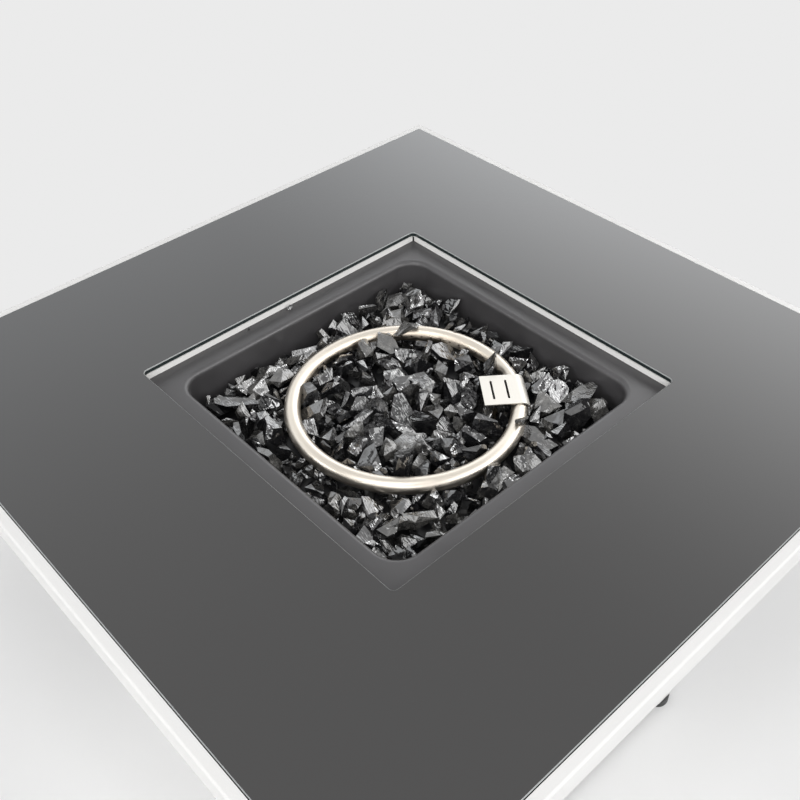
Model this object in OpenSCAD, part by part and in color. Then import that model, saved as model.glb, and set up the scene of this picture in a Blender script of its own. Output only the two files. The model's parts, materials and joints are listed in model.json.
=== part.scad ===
// Square gas fire pit table: a dark glass top in a white rim, over a cabinet for the gas bottle.
// Millimetres. +Z is up, the origin is on the floor under the middle of the table, and the
// control panel and the door face -Y.

/* [Table] */
// Width of the square top over its rim
top_w = 864; // [760:1:1000]
// Height of the glass surface above the floor
table_h = 635; // [600:1:760]
// Width of the square cabinet under the top
cabinet_w = 560; // [540:1:620]

/* [Glass] */
// Thickness of the tempered glass
glass_t = 6; // [5:0.5:10]
// Width of the square opening in the glass
opening_w = 420; // [400:1:430]
// Corner radius of the opening in the glass
opening_r = 6; // [3:0.5:12]
// Corner radius of the glass outside
glass_r = 4; // [2:0.5:10]
// Gap between the glass and the rim
glass_gap = 0.8; // [0.4:0.1:2]
// How far the glass stands above the rim
glass_proud = 1.5; // [0.5:0.1:3]
// Thickness of the silicone pads under the glass
pad_t = 0.8; // [0.7:0.1:2]
// Diameter of a silicone pad
pad_d = 12; // [8:1:18]

/* [Rim and top panel] */
// Width of the rim seen from above
rim_w = 12; // [10:0.5:20]
// Height of the rim
rim_h = 28; // [24:1:45]
// Wall of the rim's extrusion
rim_wall = 1.6; // [1.2:0.1:2.2]
// Radius of the rim's upper outer edge
rim_edge_r = 3; // [2:0.5:4]
// Width of the ledge inside the rim that carries the top panel
ledge_w = 15; // [12:1:25]
// Thickness of the top panel's sheet
sheet_t = 1.5; // [1:0.1:2]
// Height of the white lip seen under the glass
lip_h = 8.5; // [7:0.5:14]
// How far the lip stands back from the edge of the glass
lip_set = 0.8; // [0.3:0.1:3]

/* [Burner pan] */
// Width of the bowl where its flange starts to bend down
bowl_w = 376; // [350:1:380]
// Corner radius of the bowl at its flange
bowl_r = 34; // [30:1:60]
// Radius of the bend from the flange into the wall
bend_r = 6; // [4:0.5:8]
// Radius of the bend from the wall into the floor
floor_r = 10; // [6:1:14]
// Depth of the bowl under its flange
bowl_depth = 76; // [75:1:85]
// Thickness of the pan's sheet
pan_t = 1.2; // [1:0.1:2]
// Width over the pan's flange
flange_w = 456; // [446:1:460]

/* [Burner] */
// Outer diameter of the burner ring
ring_d = 278; // [260:1:300]
// Diameter of the burner ring's tube
ring_tube_d = 19; // [14:0.5:20]
// Wall of the burner ring's tube
ring_wall = 1.2; // [1:0.1:1.5]
// Depth of the ring's centre line under the glass surface
ring_drop = 40; // [34:1:44]
// Number of flame ports in the ring
port_count = 62; // [24:1:80]
// Diameter of a flame port
port_d = 2.2; // [1.6:0.1:3]
// Angle of the ignition shield round the ring, in degrees
pilot_angle = -38; // [-50:1:-30]
// Width of the ignition shield
shield_w = 50; // [44:1:60]
// Reach of the ignition shield from the ring's centre line towards the middle
shield_l = 42; // [38:1:50]
// Diameter of a burner leg
leg_d = 10; // [8:0.5:12]

/* [Fire glass] */
// Depth of the crushed glass under the glass surface
bed_drop = 37; // [35:1:45]
// Height of the bumps on the crushed glass
bump_h = 4; // [2:0.5:6]
// Size of one bump
bump_w = 14; // [10:1:24]

/* [Cabinet] */
// Side of a square frame tube
tube_w = 30; // [25:1:35]
// Wall of the frame tubes
tube_wall = 1.5; // [1.2:0.1:2]
// Height of a base rail
base_rail_h = 20; // [18:1:30]
// Height of a foot under its post
foot_h = 12; // [8:1:20]
// Diameter of a foot
foot_d = 38; // [32:1:44]
// Thickness of the cabinet's panels
skin_t = 1.2; // [0.8:0.1:1.6]
// Depth of the folded edge of a panel
fold_w = 15; // [12:1:20]
// Height of the control panel under the knob's bezel
fascia_margin = 8; // [5:1:20]
// Depth of the door's folded edge
door_fold = 18; // [16:1:22]
// Gap round the door
door_gap = 1.5; // [1.2:0.1:3]
// Side of an outrigger tube under the overhang
outrigger_w = 20; // [16:1:25]

/* [Controls] */
// Sideways place of the gas knob and of the igniter from the middle
control_x = 110; // [104:1:130]
// Diameter of the gas knob
knob_d = 44; // [36:1:50]
// Depth of the gas knob
knob_l = 24; // [18:1:30]
// Travel of the gas knob when pushed in
knob_push = 3; // [2:0.5:3.5]
// Diameter of the igniter's housing
igniter_d = 22; // [21:0.5:26]
// Travel of the igniter button
button_push = 4; // [2:0.5:4.5]

/* [Hidden] */
$fn = 48;

// Clearance where one piece seats in another, and where soft or loose pieces lie
seat_gap = 0.2;
loose_gap = 0.4;
far = 1200;

// Levels of the top, from the glass down
z_glass_bottom = table_h - glass_t;
z_rim_top = table_h - glass_proud;
z_rim_bottom = z_rim_top - rim_h;
z_panel_top = z_glass_bottom - pad_t;
z_panel_bottom = z_panel_top - sheet_t;
z_lip_bottom = z_glass_bottom - lip_h;
flange_gap = 0.3;
z_flange = z_lip_bottom - flange_gap;
z_floor = z_flange - bowl_depth;
z_ring = table_h - ring_drop;

// Half widths of the top, from the middle outwards
rim_out = top_w / 2;
rim_in = rim_out - rim_w;
glass_half = rim_in - glass_gap;
opening_half = opening_w / 2;
lip_in = opening_half + lip_set;
cab = cabinet_w / 2;
post_in = cab - tube_w;

// The rivets and screws that hold sheets together
rivet_d = 4;
rivet_hole_d = rivet_d + 0.2;
rivet_head_d = 8;
rivet_head_t = 1;
rivet_tail_d = 6.5;
rivet_tail_t = 0.6;
rim_rivet_at = rim_in - ledge_w / 2;
rim_rivet_pitch = 300;

// The Z-shaped rails that hang the pan under the top panel
rail_t = 1.5;
rail_side_gap = 4;
rail_under = 14;
rail_web = max(flange_w / 2, lip_in + sheet_t + pad_d) + rail_side_gap;
rail_leaf_w = 16;
rail_ledge_in = flange_w / 2 - rail_under;
z_rail = z_flange - pan_t - rail_t;
rail_l = 400;
rail_rivet_at = rail_web + rail_leaf_w / 2 + 1;
rail_rivet_pitch = 150;

// The pan
bowl_half = bowl_w / 2;
corner_c = bowl_half - bowl_r;
wall_rho = bowl_r - bend_r;
floor_rho = wall_rho - floor_r;
drain_d = 6;
drain_at = 90;

// The burner ring and what stands under it
ring_r = (ring_d - ring_tube_d) / 2;
tube_r = ring_tube_d / 2;
port_tilt = 12;
spigot_r = 6.5;
spigot_wall = 1.2;
z_mixer = z_floor - pan_t - 18;
spigot_end = z_mixer + 5;
leg_angles = [30, 120, 210];
leg_saddle = 3;
leg_screw_d = 5;
leg_screw_l = 14;
screw_head_h = 3;

// The pilot parts under the ignition shield
shield_t = 1.5;
shield_lift = 0.1;
slot_w = 2.6;
slot_l = 32;
slot_pitch = 17;
slot_first = 30;
bracket_in = ring_r - shield_l - 2;
bracket_out = ring_r - tube_r - 4;
bracket_w = 44;
bracket_t = 1.5;
bracket_z = z_ring - 28;
electrode_r = 3.5;
electrode_rod_r = 1.1;
sensor_r = 3;
pilot_r = ring_r - 27;
pilot_side = 12;
pilot_end = z_floor - pan_t - 12;
pilot_tip_gap = 6;
pilot_hole_gap = 0.3;

// The heat shield hung under the pan
heat_gap = 38;
z_heat = z_floor - pan_t - heat_gap;
heat_t = 1;
heat_front = -160;
heat_half = post_in - 1;
spacer_at = 140;
spacer_r = 5;
bolt_d = 5;
bolt_head_r = 4.5;
bolt_nut_h = 4;

// The elbow under the spigot, the air mixer beside it and the gas jet
elbow_r = 9;
elbow_l = 12;
mixer_r = 9;
mixer_bore_r = 7;
mixer_l = 34;
mixer_end = -elbow_l - mixer_l;
jet_r = 7;
jet_l = 10;
nut_r = 9;
nut_l = 12;
feed_r = 5;

// The gas valve behind the control panel
valve_x = -control_x;
z_control = z_floor - pan_t - 10;
fascia_back = -cab + skin_t;
valve_w = 30;
valve_front_l = 5;
valve_l = 38;
valve_flange_r = 16;
plug_r = 8;
plug_l = 24;
stem_r = 4;
stem_flat = 2.6;
running_gap = 0.05;
inlet_r = 7.94;
inlet_l = 20;
inlet_bore_r = 3;
valve_block_front = fascia_back + valve_front_l;
valve_block_back = valve_block_front + valve_l;
inlet_y = valve_block_front + 21;
plug_front = valve_block_front + 6;
stem_end = plug_front + 12;
stem_bore_end = plug_front + plug_l - 3;
bezel_t = 1.5;
bezel_r = knob_d / 2 + 5;
knob_back = -cab - bezel_t - knob_push - 1;
knob_bore_l = 15;
outlet_l = 10;

// The igniter
igniter_x = control_x;
igniter_l = 66;
igniter_flange_r = igniter_d / 2 + 3.5;
igniter_flange_t = 2.5;
igniter_wall = 2;
button_r = 7;
button_out = 5;
button_skirt_r = igniter_d / 2 - igniter_wall - seat_gap;
button_skirt_t = 2;
button_seat_t = 1;
cell_r = 7.2;
cell_l = 50;
cell_front = -cab + igniter_l - igniter_wall - cell_l - 1;
lead_r = 1.5;
lead_back = 70;
lead_side = 60;
lead_drop = 22;

// Cabinet levels and the sheets in it
z_beam_bottom = z_rail - seat_gap - tube_w;
z_base_rail = foot_h + 2;
tray_z = z_base_rail + base_rail_h;
z_panels_low = tray_z + skin_t + 0.8;
z_panels_high = z_beam_bottom - 1;
z_fascia_low = z_control - bezel_r - fascia_margin;
z_door_low = z_panels_low + 1.5;
z_door_high = z_fascia_low - 4;
skin_half = post_in - 0.5;
tray_half = post_in - 0.3;
tray_fold = 10;
outrigger_at = 200;
foot_plug_h = 16;
bottle_y = 50;
bottle_ring_r = 104;
bottle_ring_h = 12;
screw_d = 4;
screw_hole_d = screw_d + 0.3;
screw_head_r = 4;
screw_head_t = 1.5;
screw_l = 8;
fix_low = 100;
fix_high = 80;
panel_fix_z = [fix_low, z_panels_high - fix_high];
fascia_fix_z = [z_fascia_low + 20, z_panels_high - 20];
vent_w = 5;
vent_l = 44;
vent_pitch = 15;
vent_count = 17;

// The door and its hinges
door_half = post_in - door_gap;
door_lip = 20;
hinge_x = -post_in + door_gap / 2;
hinge_y = -cab - 3.4;
hinge_h = 60;
hinge_seg = 20;
hinge_gap = 0.3;
barrel_r = 3.2;
pin_r = 1.5;
leaf_t = 1.6;
leaf_w = 23;
leaf_clear = 1;
hinge_zs = [z_door_low + 45, z_door_high - 45 - hinge_h];
pull_x = door_half - 34;
pull_down = 150;
pull_z = z_door_high - pull_down;
pull_r = 15;
pull_l = 24;
catch_z = (z_door_low + z_door_high) / 2;
catch_h = 44;
catch_foot_t = 3;
catch_w = 21;
catch_d = 15;
strike_t = 1;
catch_front = -cab + door_fold + strike_t + 0.3;
strike_w = 16;

// Points of the cubic curve through four control points
function curve_at(p, t) =
  pow(1 - t, 3) * p[0] + 3 * pow(1 - t, 2) * t * p[1] + 3 * (1 - t) * t * t * p[2] + pow(t, 3) * p[3];
function curve(p, n) = [for (i = [0:n]) curve_at(p, i / n)];

// A round tube swept along points, as rings of n sides
function unit(v) = v / norm(v);
function along(pts, i) = unit(pts[min(i + 1, len(pts) - 1)] - pts[max(i - 1, 0)]);
function side_of(d, hint) = unit(cross(d, hint));
function ring_at(c, d, hint, r, n) =
  let (u = side_of(d, hint), v = cross(d, u))
  [for (k = [0:n - 1]) c + r * (cos(360 * k / n) * u + sin(360 * k / n) * v)];

module swept_tube(pts, r, hint, first, last, n = 12) {
  count = len(pts);
  function dir(i) = i == 0 ? first : i == count - 1 ? last : along(pts, i);
  points = [for (i = [0:count - 1]) each ring_at(pts[i], dir(i), hint, r, n)];
  sides = [for (i = [0:count - 2]) for (k = [0:n - 1])
    [i * n + k, i * n + (k + 1) % n, (i + 1) * n + (k + 1) % n, (i + 1) * n + k]];
  ends = [[for (k = [n - 1:-1:0]) k], [for (k = [0:n - 1]) (count - 1) * n + k]];
  polyhedron(points, concat(sides, ends), convexity = 10);
}

// A square with round corners, given by its half width
module round_square(half, r) {
  square([2 * half, 2 * (half - r)], center = true);
  square([2 * (half - r), 2 * half], center = true);
  for (x = [-1, 1], y = [-1, 1])
    translate([x * (half - r), y * (half - r)]) circle(r);
}

// A slot with round ends along its own Y
module slot(w, l) {
  square([w, l - w], center = true);
  for (s = [-1, 1])
    translate([0, s * (l - w) / 2]) circle(w / 2);
}

module four_sides() {
  for (a = [0:90:270])
    rotate(a) children();
}

// A profile drawn as (outwards, up), drawn out along the side that faces +X
module along_side(l) {
  rotate([90, 0, 0]) linear_extrude(l, center = true) children();
}

// Turns a shape that stands on Z so that it points along +Y
module point_back() {
  rotate([-90, 0, 0]) children();
}

// A circle with a flat across it, drawn so that the flat faces up once it points back
module flatted(r, flat) {
  intersection() {
    circle(r);
    translate([-r, -flat]) square([2 * r, flat + r]);
  }
}

// A coil spring that stands on Z, with its end turns held inside the length
module coil_spring(l, r, wire_r, turns) {
  steps = 12;
  pts = [for (i = [0:turns * steps])
    [r * cos(360 * i / steps), r * sin(360 * i / steps),
     wire_r + (l - 2 * wire_r) * i / (turns * steps)]];
  swept_tube(pts, wire_r, [0, 0, 1], [0, 1, 0], [0, 1, 0], 6);
}

module frame_tube(w, h, l) {
  linear_extrude(l) difference() {
    square([w, h], center = true);
    square([w - 2 * tube_wall, h - 2 * tube_wall], center = true);
  }
}

// GLASS AND RIM
module glass_top() {
  color([0.22, 0.23, 0.24, 0.92])
    translate([0, 0, z_glass_bottom]) linear_extrude(glass_t) difference() {
      round_square(glass_half, glass_r);
      round_square(opening_half, opening_r);
    }
}

module glass_pads() {
  outer = rim_in - ledge_w - 10;
  inner = max(rail_ledge_in, lip_in + sheet_t) + 5;
  color("gainsboro") four_sides() {
    for (s = [-1, 1])
      translate([outer, s * outer / 2, z_panel_top]) cylinder(h = pad_t, d = pad_d);
    translate([inner + pad_d / 2, 0, z_panel_top]) cylinder(h = pad_t, d = pad_d);
  }
}

module rim_profile() {
  difference() {
    union() {
      translate([rim_in, z_rim_bottom]) square([rim_w - rim_edge_r, rim_h]);
      translate([rim_in, z_rim_bottom]) square([rim_w, rim_h - rim_edge_r]);
      translate([rim_out - rim_edge_r, z_rim_top - rim_edge_r]) circle(rim_edge_r);
    }
    translate([rim_in + rim_wall, z_rim_bottom + rim_wall])
      square([rim_w - 2 * rim_wall, rim_h - 2 * rim_wall]);
  }
  translate([rim_in - ledge_w, z_panel_bottom - rim_wall]) square([ledge_w + rim_wall / 2, rim_wall]);
}

module rim_rivet_places() {
  for (i = [-1:1])
    translate([rim_rivet_at, i * rim_rivet_pitch, 0]) children();
}

// The rim is four lengths mitred and welded at the corners
module rim() {
  color("white") four_sides() difference() {
    intersection() {
      along_side(top_w) rim_profile();
      translate([0, 0, z_rim_bottom - 1]) linear_extrude(rim_h + 2)
        polygon([[0, 0], [top_w, -top_w], [top_w, top_w]]);
    }
    rim_rivet_places() translate([0, 0, z_rim_bottom]) cylinder(h = rim_h, d = rivet_hole_d);
  }
}

module rail_rivet_places() {
  for (i = [-1:1])
    translate([rail_rivet_at, i * rail_rivet_pitch, 0]) children();
}

module top_panel() {
  lip_l = 2 * lip_in - 2 * sheet_t;
  color("white") {
    translate([0, 0, z_panel_bottom]) linear_extrude(sheet_t) difference() {
      square(2 * (rim_in - 0.5), center = true);
      square(2 * lip_in, center = true);
      four_sides() {
        rim_rivet_places() circle(d = rivet_hole_d);
        rail_rivet_places() circle(d = rivet_hole_d);
      }
    }
    four_sides()
      translate([lip_in, -lip_l / 2, z_lip_bottom]) cube([sheet_t, lip_l, z_panel_top - z_lip_bottom]);
  }
}

// A rivet from under a ledge up to the top panel
module rivet(under) {
  translate([0, 0, under - rivet_head_t]) cylinder(h = rivet_head_t, d = rivet_head_d);
  translate([0, 0, under - 0.1]) cylinder(h = z_panel_top - under + 0.2, d = rivet_d);
  translate([0, 0, z_panel_top]) cylinder(h = rivet_tail_t, d = rivet_tail_d);
}

module panel_rivets() {
  color("silver") four_sides() {
    rim_rivet_places() rivet(z_panel_bottom - rim_wall);
    rail_rivet_places() rivet(z_panel_bottom - rail_t);
  }
}

module pan_rails() {
  color("dimgray") four_sides() difference() {
    union() {
      translate([rail_web, -rail_l / 2, z_rail]) cube([rail_t, rail_l, z_panel_bottom - z_rail]);
      translate([rail_web, -rail_l / 2, z_panel_bottom - rail_t]) cube([rail_leaf_w, rail_l, rail_t]);
      translate([rail_ledge_in, -rail_l / 2, z_rail])
        cube([rail_web + rail_t - rail_ledge_in, rail_l, rail_t]);
    }
    rail_rivet_places() translate([0, 0, z_rail]) cylinder(h = 2 * tube_w, d = rivet_hole_d);
  }
}

// BURNER PAN
// The pan's wall with both bends, from its corner's axis outwards
module pan_profile() {
  intersection() {
    translate([bowl_r, z_flange - bend_r]) difference() {
      circle(bend_r);
      circle(bend_r - pan_t);
    }
    translate([wall_rho, z_flange - bend_r]) square(bend_r);
  }
  translate([wall_rho, z_floor + floor_r]) square([pan_t, bowl_depth - bend_r - floor_r]);
  intersection() {
    translate([floor_rho, z_floor + floor_r]) difference() {
      circle(floor_r + pan_t);
      circle(floor_r);
    }
    translate([floor_rho, z_floor - pan_t]) square(floor_r + pan_t);
  }
}

module at_pilot(side) {
  rotate(pilot_angle) translate([pilot_r, side * pilot_side, 0]) children();
}

module spacer_places() {
  for (x = [-1, 1], y = [-1, 1])
    translate([x * spacer_at, y * spacer_at, 0]) children();
}

module leg_places() {
  for (a = leg_angles)
    rotate(a) translate([ring_r, 0, 0]) children();
}

module burner_pan() {
  color([0.2, 0.2, 0.21]) {
    translate([0, 0, z_flange - pan_t]) linear_extrude(pan_t) difference() {
      round_square(flange_w / 2, 4);
      round_square(bowl_half, bowl_r);
    }
    four_sides() {
      translate([corner_c, 0, 0]) along_side(2 * corner_c) pan_profile();
      translate([corner_c, corner_c, 0]) rotate_extrude(angle = 90) pan_profile();
    }
    translate([0, 0, z_floor - pan_t]) linear_extrude(pan_t) difference() {
      round_square(corner_c + floor_rho, floor_rho);
      translate([0, -ring_r]) circle(spigot_r + pilot_hole_gap);
      leg_places() circle(d = leg_screw_d + 0.4);
      spacer_places() circle(d = bolt_d + 0.4);
      at_pilot(1) circle(electrode_r + pilot_hole_gap);
      at_pilot(-1) circle(sensor_r + pilot_hole_gap);
      four_sides() translate([drain_at, 0]) circle(d = drain_d);
    }
  }
}

// BURNER
module ring_solid(r) {
  translate([0, 0, z_ring]) rotate_extrude($fn = 96) translate([ring_r, 0]) circle(r);
}

module burner_ring() {
  color("silver") difference() {
    union() {
      ring_solid(tube_r);
      translate([0, -ring_r, spigot_end]) cylinder(h = z_ring - spigot_end, r = spigot_r);
    }
    ring_solid(tube_r - ring_wall);
    translate([0, -ring_r, spigot_end - 1])
      cylinder(h = z_ring - spigot_end + 1, r = spigot_r - spigot_wall);
    for (i = [0:port_count - 1])
      rotate(360 * (i + 0.5) / port_count) translate([ring_r, 0, z_ring])
        rotate([0, port_tilt - 90, 0]) cylinder(h = tube_r + 2, d = port_d, $fn = 16);
  }
}

module burner_legs() {
  color("silver") difference() {
    leg_places() difference() {
      translate([0, 0, z_floor]) cylinder(h = z_ring - tube_r + leg_saddle - z_floor, d = leg_d);
      translate([0, 0, z_floor - 1]) cylinder(h = leg_screw_l + 1, d = leg_screw_d + 0.2);
    }
    ring_solid(tube_r + running_gap);
  }
}

module burner_leg_screws() {
  color("gray") leg_places() {
    translate([0, 0, z_floor - pan_t - screw_head_h]) cylinder(h = screw_head_h, r = bolt_head_r);
    translate([0, 0, z_floor - pan_t - 0.1]) cylinder(h = leg_screw_l, d = leg_screw_d);
  }
}

// The plate lies over the ring and bends down round the outside of its tube
module ignition_shield() {
  inner_r = tube_r + shield_lift;
  color("gainsboro") rotate(pilot_angle) difference() {
    translate([ring_r, 0, z_ring]) along_side(shield_w) {
      translate([-shield_l, inner_r]) square([shield_l, shield_t]);
      intersection() {
        difference() {
          circle(inner_r + shield_t);
          circle(inner_r);
        }
        square(2 * inner_r);
      }
    }
    for (i = [0, 1])
      translate([ring_r - slot_first + i * slot_pitch, 0, z_ring]) linear_extrude(2 * tube_r)
        slot(slot_w, slot_l);
  }
}

module pilot_bracket() {
  l = bracket_out - bracket_in;
  color("silver") difference() {
    rotate(pilot_angle) translate([bracket_in, -bracket_w / 2, 0]) {
      translate([0, 0, z_floor]) cube([l, bracket_w, bracket_t]);
      translate([0, 0, z_floor]) cube([bracket_t, bracket_w, bracket_z - z_floor]);
      translate([0, 0, bracket_z - bracket_t]) cube([l, bracket_w, bracket_t]);
    }
    at_pilot(1) translate([0, 0, z_floor - 1]) cylinder(h = far, r = electrode_r + running_gap);
    at_pilot(-1) translate([0, 0, z_floor - 1]) cylinder(h = far, r = sensor_r + running_gap);
  }
}

module spark_electrode() {
  tip = z_ring + tube_r - pilot_tip_gap;
  color("ivory") at_pilot(1) {
    translate([0, 0, pilot_end]) cylinder(h = z_ring - 10 - pilot_end, r = electrode_r);
    translate([0, 0, pilot_end + 1]) cylinder(h = tip - pilot_end - 1, r = electrode_rod_r);
  }
}

module thermocouple() {
  tip = z_ring + tube_r - pilot_tip_gap - 2;
  color("tan") at_pilot(-1) {
    translate([0, 0, pilot_end]) cylinder(h = tip - sensor_r - pilot_end, r = sensor_r);
    translate([0, 0, tip - sensor_r]) sphere(sensor_r);
  }
}

// CRUSHED GLASS
bed_half = bowl_half - bend_r - loose_gap;
bed_n = 2 * ceil(bed_half / bump_w);
bed_noise = rands(-1, 1, (bed_n + 1) * (bed_n + 1), 7);
z_bed = table_h - bed_drop;

module bed_surface() {
  n = bed_n + 1;
  side = bed_n * bump_w / 2;
  top = [for (j = [0:bed_n]) for (i = [0:bed_n])
    [i * bump_w - side, j * bump_w - side, z_bed + bump_h * bed_noise[j * n + i]]];
  rim = concat([for (i = [0:bed_n - 1]) i], [for (j = [0:bed_n - 1]) j * n + bed_n],
               [for (i = [bed_n:-1:1]) bed_n * n + i], [for (j = [bed_n:-1:1]) j * n]);
  count = len(rim);
  low = [for (k = rim) [top[k][0], top[k][1], z_floor - pan_t]];
  base = n * n;
  faces = concat(
    [for (j = [0:bed_n - 1]) for (i = [0:bed_n - 1]) [j * n + i, (j + 1) * n + i, j * n + i + 1]],
    [for (j = [0:bed_n - 1]) for (i = [0:bed_n - 1])
      [j * n + i + 1, (j + 1) * n + i, (j + 1) * n + i + 1]],
    [for (k = [0:count - 1]) [rim[k], rim[(k + 1) % count], base + (k + 1) % count, base + k]],
    [[for (k = [0:count - 1]) base + k]]);
  polyhedron(concat(top, low), faces, convexity = 20);
}

module fire_glass() {
  z_low = z_floor + loose_gap;
  step = floor_r + 1;
  color([0.08, 0.08, 0.09]) difference() {
    intersection() {
      bed_surface();
      union() {
        translate([0, 0, z_low]) linear_extrude(step + 1)
          round_square(corner_c + floor_rho - loose_gap, floor_rho);
        translate([0, 0, z_low + step]) linear_extrude(bowl_depth)
          round_square(bed_half, wall_rho);
      }
    }
    translate([0, 0, z_ring]) rotate_extrude($fn = 64)
      translate([ring_r, 0]) circle(tube_r + loose_gap, $fn = 24);
    translate([0, -ring_r, 0]) cylinder(h = z_ring, r = spigot_r + loose_gap, $fn = 24);
    leg_places() cylinder(h = z_ring, r = leg_d / 2 + loose_gap, $fn = 24);
    spacer_places() translate([0, 0, z_floor])
      cylinder(h = bolt_nut_h + 4, r = bolt_head_r + loose_gap, $fn = 24);
    rotate(pilot_angle) translate([bracket_in - loose_gap, -bracket_w / 2 - loose_gap, 0])
      cube([bracket_out - bracket_in + 2 * loose_gap, bracket_w + 2 * loose_gap, far]);
    rotate(pilot_angle) translate([ring_r - shield_l - 1, -shield_w / 2 - 1, z_ring - tube_r / 2])
      cube([shield_l + tube_r + shield_t + 2, shield_w + 2, far]);
  }
}

// GAS TRAIN
// Turns a shape that stands on Z so that it points along -X, on the mixer's axis
module at_mixer(x) {
  translate([x, -ring_r, z_mixer]) rotate([0, -90, 0]) children();
}

// The elbow takes the spigot from above, and its side tube lets air in through four windows
module air_mixer() {
  color("silver") difference() {
    union() {
      translate([0, -ring_r, z_mixer - elbow_r]) cylinder(h = elbow_r + 16, r = elbow_r);
      at_mixer(0) cylinder(h = -mixer_end, r = mixer_r);
    }
    translate([0, -ring_r, z_mixer - mixer_bore_r + 1])
      cylinder(h = far, r = spigot_r - spigot_wall);
    translate([0, -ring_r, spigot_end]) cylinder(h = far, r = spigot_r + running_gap);
    at_mixer(0) cylinder(h = -mixer_end - 4, r = mixer_bore_r);
    at_mixer(mixer_end + 5) cylinder(h = 8, r = jet_r - 2 + running_gap);
    at_mixer(-elbow_l - 6) for (a = [45:90:315])
      rotate(a) translate([0, -3, 0]) cube([mixer_r + 1, 6, mixer_l - 16]);
  }
}

module gas_jet() {
  color("goldenrod") difference() {
    union() {
      at_mixer(mixer_end) cylinder(h = jet_l, r = jet_r, $fn = 6);
      at_mixer(mixer_end + 7) cylinder(h = 7.1, r = jet_r - 2);
    }
    at_mixer(mixer_end - 2) cylinder(h = jet_l, r = 3);
    at_mixer(mixer_end + 8) cylinder(h = 12, r = 0.8, $fn = 16);
  }
}

feed_start = [valve_x, valve_block_back + outlet_l + nut_l, z_control];
feed_finish = [mixer_end - jet_l - nut_l, -ring_r, z_mixer];
feed_route = curve([feed_start, feed_start + [0, 48, 0], feed_finish - [38, 0, 0], feed_finish], 30);

module feed_tube() {
  color("lightgray")
    swept_tube(feed_route, feed_r, [0, 0, 1], [0, 1, 0], [1, 0, 0]);
}

module feed_nuts() {
  color("goldenrod") {
    translate([valve_x, valve_block_back + outlet_l, z_control]) point_back()
      cylinder(h = nut_l, r = nut_r, $fn = 6);
    at_mixer(mixer_end - jet_l) cylinder(h = nut_l, r = nut_r, $fn = 6);
  }
}

module heat_shield() {
  color("gainsboro") translate([0, 0, z_heat - heat_t]) linear_extrude(heat_t) difference() {
    translate([-heat_half, heat_front]) square([2 * heat_half, heat_half - heat_front]);
    spacer_places() circle(d = bolt_d + 0.4);
  }
}

module shield_spacers() {
  color("silver") spacer_places() translate([0, 0, z_heat]) difference() {
    cylinder(h = heat_gap, r = spacer_r);
    translate([0, 0, -1]) cylinder(h = heat_gap + 2, d = bolt_d + 0.2);
  }
}

module shield_bolts() {
  low = z_heat - heat_t;
  color("gray") spacer_places() {
    translate([0, 0, low - screw_head_h]) cylinder(h = screw_head_h, r = bolt_head_r);
    translate([0, 0, low - 0.1]) cylinder(h = z_floor + bolt_nut_h + 2 - low, d = bolt_d);
    translate([0, 0, z_floor]) cylinder(h = bolt_nut_h, r = bolt_head_r, $fn = 6);
  }
}

// VALVE AND KNOB
module at_valve(y) {
  translate([valve_x, y, z_control]) children();
}

module valve_body() {
  color("goldenrod") difference() {
    union() {
      at_valve(fascia_back) point_back() cylinder(h = valve_front_l + 1, r = valve_flange_r);
      at_valve(valve_block_front) translate([-valve_w / 2, 0, -valve_w / 2])
        cube([valve_w, valve_l, valve_w]);
      at_valve(valve_block_back - 1) point_back() cylinder(h = outlet_l + 1, r = nut_r - 2);
      translate([valve_x, inlet_y, z_control - valve_w / 2 - inlet_l])
        cylinder(h = inlet_l + 1, r = inlet_r);
    }
    at_valve(fascia_back - 1) point_back()
      cylinder(h = plug_front - fascia_back + 2, r = stem_r + 2 * running_gap);
    at_valve(plug_front) point_back() cylinder(h = plug_l + 0.4, r = plug_r + running_gap);
    at_valve(valve_block_back - 9) point_back() cylinder(h = outlet_l + 12, r = inlet_bore_r);
    translate([valve_x, inlet_y, z_control - valve_w / 2 - inlet_l - 1])
      cylinder(h = inlet_l + valve_w / 2 - plug_r + 2, r = inlet_bore_r);
    translate([valve_x + valve_w / 2 - 4, inlet_y, z_control])
      rotate([0, 90, 0]) cylinder(h = 5, r = lead_r + 0.5);
  }
}

module valve_plug() {
  color("darkgoldenrod") difference() {
    at_valve(plug_front + 0.2) point_back() cylinder(h = plug_l, r = plug_r);
    at_valve(plug_front) point_back()
      linear_extrude(stem_bore_end - plug_front) flatted(stem_r + running_gap, stem_flat + running_gap);
  }
}

// The stem has a flat along it, so the plug and the knob turn with it while it slides
module valve_stem() {
  tip = knob_back - knob_bore_l;
  color("silver") at_valve(tip) point_back() linear_extrude(stem_end - tip) flatted(stem_r, stem_flat);
}

module stem_spring() {
  color("gray") at_valve(stem_end) point_back() coil_spring(stem_bore_end - stem_end, 2.1, 0.4, 4);
}

module control_knob() {
  front = knob_back - knob_l;
  color([0.75, 0.75, 0.76]) difference() {
    union() {
      at_valve(knob_back - 6) point_back() cylinder(h = 6, r = knob_d / 2);
      at_valve(front) point_back() cylinder(h = knob_l, r = knob_d / 2 - 4);
      at_valve(front - 1) translate([-3, 0, 0]) cube([6, knob_l, knob_d / 2 - 3]);
    }
    at_valve(knob_back - knob_bore_l - seat_gap) point_back()
      linear_extrude(knob_bore_l + 2) flatted(stem_r + running_gap, stem_flat + running_gap);
  }
}

module knob_bezel() {
  color([0.15, 0.15, 0.16]) difference() {
    at_valve(-cab - bezel_t) point_back() cylinder(h = bezel_t, r = bezel_r);
    at_valve(-cab - bezel_t - 1) point_back() cylinder(h = bezel_t + 2, r = stem_r + 2);
  }
}

// IGNITER
module at_igniter(y) {
  translate([igniter_x, y, z_control]) children();
}

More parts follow.
